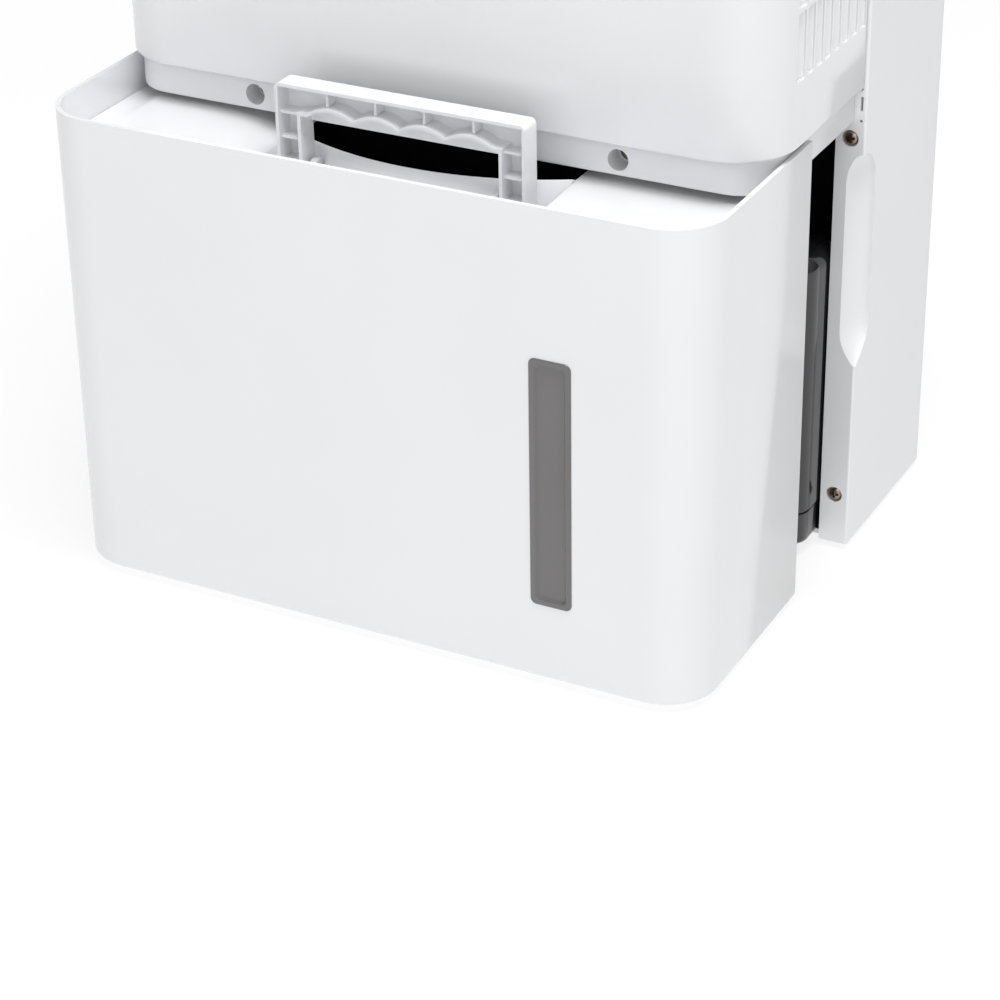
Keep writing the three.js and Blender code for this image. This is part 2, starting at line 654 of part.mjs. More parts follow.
const pipeX = -coil.halfWidth - 22;
const pipeEndX = -coil.halfWidth - 11.4;
const dischargeRoute = [
  [compressor.x, compressor.y, compressor.z1 + 6.6],
  [compressor.x, compressor.y, compressor.z1 + 14],
  [compressor.x - 12, compressor.y, 256],
  [compressor.x - 35, compressor.y, 260],
  [compressor.x - 70, compressor.y, 266],
  [pipeX, compressor.y, 290],
  [pipeX, compressor.y, 340],
  [pipeX, compressor.y, 410],
  [pipeEndX, compressor.y + 1, 420],
];
const suctionRoute = [
  [accumulator.x, accumulator.y, accumulator.z1 + 8.6],
  [accumulator.x - 2, accumulator.y, 222],
  [-40, accumulator.y, 250],
  [-110, 98, 262],
  [pipeX, 100, 280],
  [pipeX, 100, 312],
  [pipeEndX, 98, 318],
];
const capillaryRoute = [
  [pipeEndX, 66, 316],
  [pipeX + 2, 74, 330],
  [pipeX, 88, 350],
  [pipeX + 2, 96, 380],
  [pipeEndX, 97, 404],
];
add("discharge_pipe", pipe(dischargeRoute, 4, 16), copper);
add("suction_pipe", pipe(suctionRoute, 5, 16), copper);
add("capillary_tube", pipe(capillaryRoute, 1.6, 14), copper);

/** The tray under the coils, with a channel to a spout over the bucket. */
function dripTray() {
  const { halfWidth, y0, y1, channelHalf, channelFront, channelHeight } = tray;
  const top = coil.z0 - 2;
  const low = front.bottom + gap + 1;
  const t = 3;
  const pan = block([-halfWidth, halfWidth], [y0, y1], [low, top]);
  const panHollow = block([-halfWidth + t, halfWidth - t], [y0 + t, y1 - t], [low + t, top + 1]);
  const channel = block([-channelHalf, channelHalf], [channelFront, y0 + 1], [low, low + channelHeight]);
  const channelInner = [-channelHalf + t, channelHalf - t];
  const channelY = [channelFront + t, y0 + t + 1];
  const channelHollow = block(channelInner, channelY, [low + t, low + channelHeight + 1]);
  const tube = rod("z", [0, spout.y], skirt.plate - 6, low + 2, spout.radius);
  const bore = rod("z", [0, spout.y], skirt.plate - 8, low + 4, spout.bore);
  return cut(join(cut(pan, panHollow), channel, tube), channelHollow, bore);
}

add("drip_tray", dripTray(), blackPlastic);
const sensorX = front.halfWidth - wall - gap;
add("humidity_sensor", block([-sensorX, -sensorX + 8], [-70, -48], [300, 330]), circuitGreen);

/** The switch the closed bucket's lobe comes up to, so the machine only runs with it in place. */
function bucketSwitch() {
  const back = bay.back - gap;
  const z = lobe.top - 30;
  const body = block([100, 120], [back - 5, back], [z - 6, z + 6]);
  return join(body, block([101, 119], [back - 7, back - 4.5], [z - 2, z - 0.5]));
}

add("bucket_switch", bucketSwitch(), blackPlastic);

/** The bush in the rear wall that the mains lead passes through. */
function cordInlet() {
  const at = [cord.x, cord.z];
  const outside = rod("y", at, rear.depth + gap, rear.depth + 3, cord.flange);
  const body = rod("y", at, rear.depth - 10, rear.depth + 1, cord.bush);
  return cut(join(outside, body), rod("y", at, rear.depth - 12, rear.depth + 5, cord.hole));
}

add("cord_inlet", cordInlet(), blackPlastic);

// ---------- bucket ----------
/** The white front of the bucket: a tray with one curved wall, open at the top and the back. */
function bucketFront() {
  const { halfWidth, face, corner, rim, bottom, foot: edge } = bucket;
  const outline = plan(halfWidth, face, bucketRear, corner);
  const rounded = upright(outline, bottom, rim + 8, { edge, curveSegments: 8 });
  const squareBack = cut(
    block([-halfWidth, halfWidth], [bucketRear - 2 * edge, bucketRear], [bottom, rim]),
    block([-halfWidth + 5, halfWidth - 5], [bucketRear - 3 * edge, bucketRear + 1], [bottom - 1, rim + 1]),
  );
  const inner = plan(halfWidth - bucket.wall, face + bucket.wall, 0, corner - bucket.wall);
  const shell = cut(join(rounded, squareBack), upright(inner, bottom + edge, rim + 20, { curveSegments: 8 }));
  const topped = cut(shell, everythingOver(rim));
  const { x0, x1, z0, z1, border } = level;
  const hole = roundedRect(x0 + border, x1 - border, z0 + border, z1 - border, 1.5);
  return cut(topped, alongY(hole, face - 5, face + 10, { curveSegments: 2 }));
}

/** The smoked insert that shows the water level: a raised border round a slightly sunken pane. */
function levelWindow() {
  const { x0, x1, z0, z1, corner, proud, border } = level;
  const face = bucket.face;
  const rim = alongY(roundedRect(x0, x1, z0, z1, corner), face - proud, face - gap / 3, { curveSegments: 4 });
  const clear = border + gap;
  const plug = roundedRect(x0 + clear, x1 - clear, z0 + clear, z1 - clear, 1.2);
  const body = alongY(plug, face - 0.5, face + bucket.wall, { curveSegments: 2 });
  const sunk = border + 1.6;
  const pane = roundedRect(x0 + sunk, x1 - sunk, z0 + sunk, z1 - sunk, 1);
  return cut(join(rim, body), alongY(pane, face - 5, face + 0.3, { curveSegments: 2 }));
}

/** The smoked water tank: full width at the front, with a lower lobe on the right that reaches back. */
function waterTank() {
  const { halfWidth, front: y0, rear: y1, corner, floor, wall: t, foot: edge } = tank;
  const top = deck.z - deck.thickness - gap;
  const mainOf = (d) => roundedRect(-halfWidth + d, halfWidth - d, y0 + d, y1 - d, corner - d);
  const neckOf = (d) => roundedRect(lobe.x + d, lobe.neck - d, y1 - 40 + d, lobe.rear - d, corner - d);
  const bulgeOf = (d) => roundedRect(lobe.x + d, halfWidth - d, lobe.bulge + d, lobe.rear - d, corner - d);
  const bothOf = (d, mainTop) => {
    const lobePart = (outline) => upright(outline, floor + d, lobe.top - d, { edge: lobe.shoulder - d });
    const main = upright(mainOf(d), floor + d, mainTop, { edge: edge - d });
    return join(main, lobePart(neckOf(d)), lobePart(bulgeOf(d)));
  };
  const wellHalf = recess.halfWidth + deck.thickness + gap;
  const wellFloor = recess.floor - deck.thickness - gap;
  const wellNotch = block([-wellHalf, wellHalf], [y0 - 1, y0 + 8], [wellFloor, top + 5]);
  return cut(bothOf(0, top + 20), bothOf(t, top + 30), everythingOver(top), wellNotch);
}

const lipRise = recess.lipEnd - recess.lip;
const lipRadius = (recess.halfWidth ** 2 + lipRise ** 2) / (2 * lipRise);
const lipCentre = recess.lip + lipRadius;

/** The part of a band across the recess that lies in front of the curved lip, moved back by an offset. */
function frontOfLip(halfWidth, yFront, offset) {
  const r = lipRadius - offset;
  const half = Math.asin(halfWidth / r);
  const shape = new THREE.Shape();
  shape.moveTo(-halfWidth, yFront);
  shape.lineTo(halfWidth, yFront);
  shape.absarc(0, lipCentre, r, -Math.PI / 2 + half, -Math.PI / 2 - half, true);
  return shape;
}

/** The white lid: its deck, a sunken well for the folded handle and the pouring mouth behind its lip. */
function tankLid() {
  const { z, thickness } = deck;
  const { halfWidth, floor, lip, lipTop, rear: mouthRear } = recess;
  const side = bucket.halfWidth - bucket.wall - gap;
  const frontEdge = bucket.face + bucket.wall + gap;
  const outline = plan(side, frontEdge, bucketRear, bucket.corner - bucket.wall - gap);
  const wellOutline = (offset) => frontOfLip(halfWidth + offset, frontEdge, offset);
  const behindLip = frontOfLip(halfWidth + thickness, frontEdge, 0);
  const mouth = cut(
    block([-halfWidth, halfWidth], [lip, mouthRear], [z - 5, z + 5]),
    upright(behindLip, floor, z + 10),
  );
  let lid = cut(upright(outline, z - thickness, z), mouth);
  lid = join(lid, upright(wellOutline(thickness), floor - thickness, lipTop));
  lid = cut(lid, upright(frontOfLip(halfWidth, frontEdge - 5, 0), floor, lipTop + 5));
  for (const s of [-1, 1]) {
    const besideWell = mirrored(s, halfWidth, side + 1);
    lid = cut(lid, block(besideWell, [frontEdge - 1, bucketRear], [z, z + 10]));
    const earX = mirrored(s, handlePin.inner - 0.5, handlePin.inner + 5.2);
    lid = join(lid, block(earX, [handle.pivotY - 6, handle.pivotY + 6], [floor - 1, z]));
    const pivot = [handle.pivotY, handle.pivotZ];
    lid = cut(lid, rod("x", pivot, ...pinSpan(s, -2, 2), handlePin.bore, { sides: 16 }));
  }
  return lid;
}

/** Where a handle pin starts and ends on X, lengthened at each end. */
function pinSpan(s, before = 0, after = 0) {
  return mirrored(s, handlePin.inner + before, handlePin.outer + after);
}

/** The carrying handle: a channel-section bow, open to the front, with a scalloped grip. */
function bucketHandle() {
  const { halfWidth: h, leg, top, barLow, pivotY, pivotZ, depth, wall: t } = handle;
  const y0 = pivotY - depth / 2;
  const y1 = pivotY + depth / 2;
  const inner = h - leg;
  const hollowY = [y0 - 1, y1 - t];
  const ribY = [y0 + 3, y1 - t + 0.5];
  const grip = gripOutline();
  let made = alongY(roundedRect(-h, h, pivotZ, top, 2.5), y0, y1, { curveSegments: 2 });
  made = cut(made, block([-inner, inner], [y0 - 1, y1 + 1], [pivotZ - 1, barLow]));
  for (const s of [-1, 1]) {
    made = cut(made, block(mirrored(s, inner + t, h - t), hollowY, [pivotZ + 7.5, barLow + 4]));
  }
  made = cut(made, alongY(grip.hollow, ...hollowY), alongY(grip.below, ...hollowY));
  for (const x of [-42, -14, 14, 42]) {
    made = join(made, block([x - 0.7, x + 0.7], ribY, [top - 10, top - t + 0.5]));
  }
  for (const s of [-1, 1]) {
    for (const z of [barLow - 8.5, barLow + 5]) {
      made = join(made, block(mirrored(s, inner + t - 0.5, h - t + 0.5), ribY, [z, z + 1.2]));
    }
    made = join(made, rod("x", [pivotY, pivotZ], ...mirrored(s, inner, h), depth / 2, { sides: 24 }));
    made = cut(made, rod("x", [pivotY, pivotZ], ...pinSpan(s, -2, 0.4), handlePin.bore, { sides: 16 }));
  }
  return made;
}

/** The two hollows of the bar: between its top wall and scalloped web, and below the web. */
function gripOutline() {
  const { halfWidth: h, leg, top, barLow, scallops, scallopRise, wall: t } = handle;
  const inner = h - leg;
  const margin = 4;
  const pitch = (2 * (inner - margin)) / scallops;
  const wave = (x, lift) => {
    const along = Math.min(Math.max((x + inner - margin) / pitch, 0), scallops);
    return barLow + 6 + lift + scallopRise * Math.abs(Math.sin(Math.PI * along));
  };
  const shoulder = barLow + 3.5;
  const steps = scallops * 6;
  const hollow = new THREE.Shape();
  const below = new THREE.Shape();
  hollow.moveTo(h - t, top - t);
  hollow.lineTo(-h + t, top - t);
  hollow.lineTo(-h + t, shoulder);
  hollow.lineTo(-inner - t, shoulder);
  hollow.lineTo(-inner - t, wave(-inner, t));
  below.moveTo(inner, barLow - 1);
  below.lineTo(-inner, barLow - 1);
  for (let i = 0; i <= steps; i++) {
    const x = -inner + (i * 2 * inner) / steps;
    if (i > 0 && i < steps) {
      hollow.lineTo(x, wave(x, t));
    }
    below.lineTo(x, wave(x, 0));
  }
  hollow.lineTo(inner + t, wave(inner, t));
  hollow.lineTo(inner + t, shoulder);
  hollow.lineTo(h - t, shoulder);
  return { hollow, below };
}

/** The arm whose float lifts with the water and tells the machine that the bucket is full. */
function floatArm() {
  const { x, pivotY, z, length } = float;
  const tip = pivotY - length;
  const arm = block([x - 5, x + 5], [tip, pivotY], [z - 1.5, z + 1.5]);
  const hub = rod("x", [pivotY, z], x - 9, x + 9, 4, { sides: 16 });
  const bulb = alongX(roundedRect(tip - 6, tip + 26, z - 24, z + 1, 6), x - 18, x + 18, { curveSegments: 4 });
  return cut(join(arm, hub, bulb), rod("x", [pivotY, z], x - 10, x + 10, 1.9, { sides: 12 }));
}

/** The pin and hangers under the lid that the float arm swings from. */
function floatHanger() {
  const { x, pivotY, z } = float;
  const top = deck.z - deck.thickness - gap;
  let made = rod("x", [pivotY, z], x - 14, x + 14, 1.5, { sides: 12 });
  for (const s of [-1, 1]) {
    const ear = mirrored(s, 10, 13).map((offset) => x + offset);
    made = join(made, block(ear, [pivotY - 5, pivotY + 5], [z - 4, top]));
  }
  return join(made, block([x - 13, x + 13], [pivotY - 5, pivotY + 5], [top - 2, top]));
}

add("bucket_front", bucketFront(), whiteGloss);
add("level_window", levelWindow(), greyClear);
add("water_tank", waterTank(), smoke);
add("tank_lid", tankLid(), whiteSatin);
add("bucket_handle", bucketHandle(), whiteGloss);
for (const [name, s] of [["left", -1], ["right", 1]]) {
  const pin = rod("x", [handle.pivotY, handle.pivotZ], ...pinSpan(s), handlePin.radius, { sides: 16 });
  add(`handle_pin_${name}`, pin, steel);
}
add("float_arm", floatArm(), whiteSatin);
add("float_hanger", floatHanger(), whiteSatin);

// The origin is under the middle of the whole machine's box, with the bucket out as drawn.
assembly.position.y = -(openFront + closedRear) / 2;
const dehumidifier = new THREE.Group();
dehumidifier.add(assembly);

export default dehumidifier;
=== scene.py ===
import json
import math

import bmesh
import bpy
from mathutils import Matrix, Vector


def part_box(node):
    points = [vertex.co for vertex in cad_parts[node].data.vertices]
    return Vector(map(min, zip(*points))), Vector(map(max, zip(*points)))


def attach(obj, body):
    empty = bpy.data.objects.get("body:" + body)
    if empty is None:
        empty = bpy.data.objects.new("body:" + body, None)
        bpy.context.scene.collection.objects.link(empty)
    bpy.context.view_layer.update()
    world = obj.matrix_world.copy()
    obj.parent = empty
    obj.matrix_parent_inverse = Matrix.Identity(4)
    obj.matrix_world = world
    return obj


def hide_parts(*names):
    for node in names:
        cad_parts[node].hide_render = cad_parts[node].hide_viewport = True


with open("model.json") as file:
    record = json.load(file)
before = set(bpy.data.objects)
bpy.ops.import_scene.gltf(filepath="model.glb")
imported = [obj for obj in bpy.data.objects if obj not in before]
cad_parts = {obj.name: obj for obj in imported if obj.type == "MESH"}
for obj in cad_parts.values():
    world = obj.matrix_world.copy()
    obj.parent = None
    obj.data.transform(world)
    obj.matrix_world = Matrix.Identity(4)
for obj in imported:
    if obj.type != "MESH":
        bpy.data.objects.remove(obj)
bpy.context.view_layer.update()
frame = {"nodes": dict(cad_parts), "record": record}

# The looks of a compressor dehumidifier with its water bucket part way out. Shapes are made in
# millimetres about the seam plane between the two casings (Y = 0), then moved into the row frame.
MM = 0.001
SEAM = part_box("rear_casing")[0].y
TO_FRAME = Matrix.Translation((0, SEAM, 0)) @ Matrix.Scale(MM, 4)
SLOT_OF = {row["node"]: row["material_slot"] for row in frame["record"]["subparts"]}
BODY_OF = {node: body for body, nodes in frame["record"]["behaviour"]["bodies"].items() for node in nodes}


def span(node):
    """The lowest and highest corners of a CAD node, in millimetres about the seam plane."""
    low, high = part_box(node)
    return [Vector((p.x, p.y - SEAM, p.z)) / MM for p in (low, high)]


# ---------- outlines ----------
def arc(cx, cy, radius, start, end, steps):
    """Points along an arc, with its angles in degrees."""
    points = []
    for i in range(steps + 1):
        angle = math.radians(start + (end - start) * i / steps)
        points.append((cx + radius * math.cos(angle), cy + radius * math.sin(angle)))
    return points


def rounded(x0, x1, y0, y1, radius, steps=8):
    """A rectangle with round corners."""
    r = max(radius, 0.01)
    return (
        arc(x0 + r, y0 + r, r, 180, 270, steps)
        + arc(x1 - r, y0 + r, r, 270, 360, steps)
        + arc(x1 - r, y1 - r, r, 0, 90, steps)
        + arc(x0 + r, y1 - r, r, 90, 180, steps)
    )


def plan(half, front, back, front_radius, back_radius=0.01, steps=16):
    """A plan view rounded at its two front corners, and separately at its two back ones."""
    f = max(front_radius, 0.01)
    b = max(back_radius, 0.01)
    return (
        arc(-half + f, front + f, f, 180, 270, steps)
        + arc(half - f, front + f, f, 270, 360, steps)
        + arc(half - b, back - b, b, 0, 90, steps)
        + arc(-half + b, back - b, b, 90, 180, steps)
    )


def circle(cx, cy, radius, sides=48):
    return arc(cx, cy, radius, 0, 360 * (sides - 1) / sides, sides - 1)


# ---------- solids ----------
PLACES = {
    "z": lambda u, v, level: (u, v, level),
    "y": lambda u, v, level: (u, level, v),
    "x": lambda u, v, level: (level, u, v),
}


def new_object(bm):
    mesh = bpy.data.meshes.new("shape")
    bm.to_mesh(mesh)
    bm.free()
    obj = bpy.data.objects.new("shape", mesh)
    bpy.context.scene.collection.objects.link(obj)
    return obj


def loft(outline_of, levels, axis="z"):
    """A closed solid through the outlines at several (inset, level) pairs."""
    bm = bmesh.new()
    place = PLACES[axis]
    rings = [[bm.verts.new(place(u, v, level)) for u, v in outline_of(inset)] for inset, level in levels]
    for low, high in zip(rings, rings[1:]):
        for i in range(len(low)):
            j = (i + 1) % len(low)
            bm.faces.new((low[i], low[j], high[j], high[i]))
    bm.faces.new(rings[0][::-1])
    bm.faces.new(rings[-1])
    bmesh.ops.recalc_face_normals(bm, faces=bm.faces[:])
    return new_object(bm)


def levels_of(low, high, low_round=0, high_round=0, steps=5):
    """Levels for a loft whose low and high edges are rounded."""
    levels = []
    for i in range(steps + 1 if low_round else 1):
        angle = math.pi / 2 * i / steps
        levels.append((low_round * (1 - math.sin(angle)), low + low_round * (1 - math.cos(angle))))
    for i in range(steps + 1 if high_round else 1):
        angle = math.pi / 2 * (i / steps if high_round else 1)
        levels.append((high_round * (1 - math.cos(angle)), high - high_round * (1 - math.sin(angle))))
    return levels


def prism(outline, low, high, axis="z"):
    return loft(lambda inset: outline, [(0, low), (0, high)], axis)


def block(x, y, z):
    """A box between two values on each axis, for cutting and joining."""
    return prism([(x[0], y[0]), (x[1], y[0]), (x[1], y[1]), (x[0], y[1])], *z)


def round_bar(axis, centre, low, high, radius, low_round=0, high_round=0, sides=48):
    """A round bar along an axis, with its ends rounded."""
    outline_of = lambda inset: circle(*centre, radius - inset, sides)
    return loft(outline_of, levels_of(low, high, low_round, high_round), axis)


def swept(points, radius, sides=16):
    """A round tube along a smooth line through the points."""
    curve = bpy.data.curves.new("line", "CURVE")
    curve.dimensions = "3D"
    curve.bevel_depth = radius
    curve.bevel_resolution = sides // 4
    curve.use_fill_caps = True
    curve.resolution_u = 8
    spline = curve.splines.new("BEZIER")
    spline.bezier_points.add(len(points) - 1)
    for target, point in zip(spline.bezier_points, points):
        target.co = point
        target.handle_left_type = target.handle_right_type = "AUTO"
    obj = bpy.data.objects.new("line", curve)
    bpy.context.scene.collection.objects.link(obj)
    mesh = bpy.data.meshes.new_from_object(obj.evaluated_get(bpy.context.evaluated_depsgraph_get()))
    bpy.data.objects.remove(obj)
    made = bpy.data.objects.new("shape", mesh)
    bpy.context.scene.collection.objects.link(made)
    return made


def apply_modifiers(obj):
    depsgraph = bpy.context.evaluated_depsgraph_get()
    mesh = bpy.data.meshes.new_from_object(obj.evaluated_get(depsgraph))
    obj.modifiers.clear()
    obj.data = mesh


def combine(obj, others, operation):
    for other in others:
        modifier = obj.modifiers.new("boolean", "BOOLEAN")
        modifier.operation = operation
        modifier.solver = "EXACT"
        modifier.object = other
        apply_modifiers(obj)
        bpy.data.objects.remove(other)
    return obj


def cut(obj, *others):
    return combine(obj, others, "DIFFERENCE")


def join(obj, *others):
    return combine(obj, others, "UNION")


def together(first, *others):
    """Meshes that only sit beside each other, in one object."""
    bm = bmesh.new()
    for obj in (first, *others):
        bm.from_mesh(obj.data)
    bm.to_mesh(first.data)
    bm.free()
    for obj in others:
        bpy.data.objects.remove(obj)
    return first


def soften(obj, width, segments=2, limit=35):
    """Rounds every sharp edge of a finished solid."""
    bm = bmesh.new()
    bm.from_mesh(obj.data)
    bmesh.ops.remove_doubles(bm, verts=bm.verts[:], dist=0.005)
    bmesh.ops.dissolve_limit(bm, angle_limit=math.radians(0.5), verts=bm.verts[:], edges=bm.edges[:])
    bm.to_mesh(obj.data)
    bm.free()
    for face in obj.data.polygons:
        face.use_smooth = True
    modifier = obj.modifiers.new("edges", "BEVEL")
    modifier.width = width
    modifier.segments = segments
    modifier.limit_method = "ANGLE"
    modifier.angle_limit = math.radians(limit)
    modifier.harden_normals = True
    apply_modifiers(obj)
    return obj


def shade(obj, limit=35):
    """Smooth shading, apart from edges sharper than the limit."""
    for face in obj.data.polygons:
        face.use_smooth = True
    obj.data.set_sharp_from_angle(angle=math.radians(limit))
    return obj


def stand_for(obj, node, name=None):
    """Puts a finished shape in the place of a CAD node, with that node's body and finish."""
    obj.data.transform(TO_FRAME)
    obj.name = name or node + "_shape"
    obj.data.name = obj.name
    obj.data.materials.clear()
    obj.data.materials.append(MATERIALS[SLOT_OF[node]])
    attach(obj, BODY_OF[node])
    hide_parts(node)
    return obj


def add_to(obj, node, name, slot=None):
    """Puts one more piece on a node's body."""
    obj.data.transform(TO_FRAME)
    obj.name = name
    obj.data.name = name
    obj.data.materials.clear()
    obj.data.materials.append(MATERIALS[slot or SLOT_OF[node]])
    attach(obj, BODY_OF[node])
    return obj


# ---------- materials ----------
class Shader:
    """A principled material with helpers for its nodes."""

    def __init__(self, name, color, roughness, metallic=0.0):
        self.material = bpy.data.materials.new(name)
        self.material.use_nodes = True
        self.nodes = self.material.node_tree.nodes
        self.links = self.material.node_tree.links
        self.main = self.nodes["Principled BSDF"]
        self.main.inputs["Base Color"].default_value = (*color, 1)
        self.main.inputs["Roughness"].default_value = roughness
        self.main.inputs["Metallic"].default_value = metallic
        self.color = color
        self.height = None
        self.place = self.nodes.new("ShaderNodeTexCoord").outputs["Object"]

    def noise(self, scale, detail=3.0, stretch=(1, 1, 1)):
        mapping = self.nodes.new("ShaderNodeMapping")
        mapping.inputs["Scale"].default_value = stretch
        self.links.new(self.place, mapping.inputs["Vector"])
        texture = self.nodes.new("ShaderNodeTexNoise")
        texture.inputs["Scale"].default_value = scale
        texture.inputs["Detail"].default_value = detail
        self.links.new(mapping.outputs["Vector"], texture.inputs["Vector"])
        return texture.outputs["Fac"]

    def ramp(self, value, low, high, start=0.3, end=0.7):
        ramp = self.nodes.new("ShaderNodeValToRGB")
        ramp.color_ramp.elements[0].position = start
        ramp.color_ramp.elements[1].position = end
        ramp.color_ramp.elements[0].color = (*low, 1)
        ramp.color_ramp.elements[1].color = (*high, 1)
        self.links.new(value, ramp.inputs["Fac"])
        return ramp.outputs["Color"]

    def vary_color(self, value, share, tint=(1, 1, 1)):
        """The base colour drifts by a share of itself."""
        low = [c * (1 - share * t) for c, t in zip(self.color, tint)]
        high = [min(c * (1 + share * t), 1) for c, t in zip(self.color, tint)]
        self.links.new(self.ramp(value, low, high), self.main.inputs["Base Color"])

    def vary_roughness(self, value, low, high):
        spread = self.nodes.new("ShaderNodeMapRange")
        spread.inputs["To Min"].default_value = low
        spread.inputs["To Max"].default_value = high
        self.links.new(value, spread.inputs["Value"])
        self.links.new(spread.outputs["Result"], self.main.inputs["Roughness"])

    def bump(self, value, distance, strength=1.0):
        node = self.nodes.new("ShaderNodeBump")
        node.inputs["Distance"].default_value = distance
        node.inputs["Strength"].default_value = strength
        self.links.new(value, node.inputs["Height"])
        if self.height is not None:
            self.links.new(self.height, node.inputs["Normal"])
        self.height = node.outputs["Normal"]
        self.links.new(self.height, self.main.inputs["Normal"])


def moulded(name, color, roughness, grain=900, depth=0.00001, drift=0.012, coat=0.0):
    """Moulded plastic: a fine skin texture, with slow drift in its colour and gloss."""
    shader = Shader(name, color, roughness)
    shader.vary_color(shader.noise(9), drift)
    shader.vary_roughness(shader.noise(35), roughness * 0.85, roughness * 1.15)
    shader.bump(shader.noise(grain, 2), depth)
    shader.main.inputs["Coat Weight"].default_value = coat
    shader.main.inputs["Coat Roughness"].default_value = 0.08
    return shader.material


def metal(name, color, roughness, stretch=(1, 1, 1), grain=400, depth=0.00002, drift=0.08):
    """Metal, with its marks drawn out along the grain."""
    shader = Shader(name, color, roughness, metallic=1.0)
    marks = shader.noise(grain, 4, stretch)
    shader.vary_color(shader.noise(30), drift)
    shader.vary_roughness(marks, roughness * 0.7, roughness * 1.35)
    shader.bump(marks, depth)
    return shader.material


def woven_mesh(name, color, threads):
    """A fine square weave, as on a washable filter."""
    shader = Shader(name, color, 0.75)
    waves = []
    for direction in ("X", "Z"):
        wave = shader.nodes.new("ShaderNodeTexWave")
        wave.wave_type = "BANDS"
        wave.bands_direction = direction
        wave.inputs["Scale"].default_value = threads
        wave.inputs["Distortion"].default_value = 0.1
        shader.links.new(shader.place, wave.inputs["Vector"])
        waves.append(wave.outputs["Fac"])
    over = shader.nodes.new("ShaderNodeMath")
    over.operation = "MAXIMUM"
    shader.links.new(waves[0], over.inputs[0])
    shader.links.new(waves[1], over.inputs[1])
    dark = [c * 0.15 for c in color]
    threads_color = shader.ramp(over.outputs["Value"], dark, color, 0.45, 0.8)
    shader.links.new(threads_color, shader.main.inputs["Base Color"])
    shader.bump(over.outputs["Value"], 0.0003)
    return shader.material


def smoked(name, color, roughness, clear=0.0):
    """Dark see-through plastic read as solid: glossy, with a faint clouding below its surface."""
    shader = Shader(name, color, roughness)
    shader.vary_color(shader.noise(14, 2, (1, 1, 0.25)), 0.25)
    shader.vary_roughness(shader.noise(120), roughness * 0.8, roughness * 1.3)
    shader.bump(shader.noise(60, 1, (1, 1, 0.4)), 0.00003)
    shader.main.inputs["Coat Weight"].default_value = 0.6
    shader.main.inputs["Coat Roughness"].default_value = 0.04
    shader.main.inputs["Transmission Weight"].default_value = clear
    return shader.material


def circuit(name, color):
    """Solder mask over fine copper tracks."""
    shader = Shader(name, color, 0.35)
    brick = shader.nodes.new("ShaderNodeTexBrick")
    brick.inputs["Scale"].default_value = 160
    brick.inputs["Color1"].default_value = (*color, 1)
    brick.inputs["Color2"].default_value = (*[c * 0.7 for c in color], 1)
    brick.inputs["Mortar"].default_value = (*[min(c * 2.2, 1) for c in color], 1)
    brick.inputs["Mortar Size"].default_value = 0.03
    shader.links.new(shader.place, brick.inputs["Vector"])
    shader.links.new(brick.outputs["Color"], shader.main.inputs["Base Color"])
    shader.bump(brick.outputs["Fac"], 0.00005)
    return shader.material


WHITE = (0.84, 0.845, 0.86)
MATERIALS = {
    "casing_white_satin": moulded("casing_white_satin", WHITE, 0.38, grain=1400, depth=0.00003),
    "casing_white_gloss": moulded("casing_white_gloss", WHITE, 0.22, coat=0.3),
    "bay_panel_white": moulded("bay_panel_white", WHITE, 0.34, grain=1200, depth=0.00002),
    "bucket_white_gloss": moulded("bucket_white_gloss", WHITE, 0.24, coat=0.3),
    "lid_white": moulded("lid_white", WHITE, 0.32, grain=1100, depth=0.00002),
    "handle_white": moulded("handle_white", WHITE, 0.3, grain=1000, depth=0.00002),
    "button_white": moulded("button_white", WHITE, 0.2, coat=0.4),
    "tank_smoke": smoked("tank_smoke", (0.012, 0.012, 0.014), 0.12),
    "window_grey": smoked("window_grey", (0.13, 0.125, 0.125), 0.2),
    "panel_gloss": smoked("panel_gloss", (0.008, 0.008, 0.01), 0.06),
    "black_plastic": moulded(
        "black_plastic", (0.012, 0.012, 0.013), 0.5, grain=700, depth=0.00004, drift=0.2
    ),
    "foot_rubber": moulded("foot_rubber", (0.02, 0.02, 0.02), 0.85, grain=600, depth=0.00008, drift=0.3),
    "screw_nickel": metal("screw_nickel", (0.3, 0.25, 0.21), 0.28, grain=900),
    "steel": metal("steel", (0.55, 0.56, 0.57), 0.38, stretch=(0.05, 1, 1)),
    "black_paint": moulded(
        "black_paint", (0.01, 0.01, 0.011), 0.3, grain=250, depth=0.00006, drift=0.2, coat=0.5
    ),
    "aluminium": metal("aluminium", (0.76, 0.77, 0.78), 0.32, stretch=(1, 1, 0.04)),
    "copper": metal("copper", (0.74, 0.36, 0.2), 0.26, grain=250, drift=0.18),
    "circuit": circuit("circuit", (0.02, 0.14, 0.05)),
    "filter_mesh": woven_mesh("filter_mesh", (0.1, 0.11, 0.12), 380),
}


# ---------- bucket ----------
COVER_LOW, COVER_HIGH = span("bucket_front")
COVER_WALL = 2.5
COVER_CORNER = 30
WINDOW_LOW, WINDOW_HIGH = span("level_window")
FACE = COVER_LOW.y


def cover_outline(inset):
    return plan(COVER_HIGH.x - inset, FACE + inset, COVER_HIGH.y, COVER_CORNER - inset)


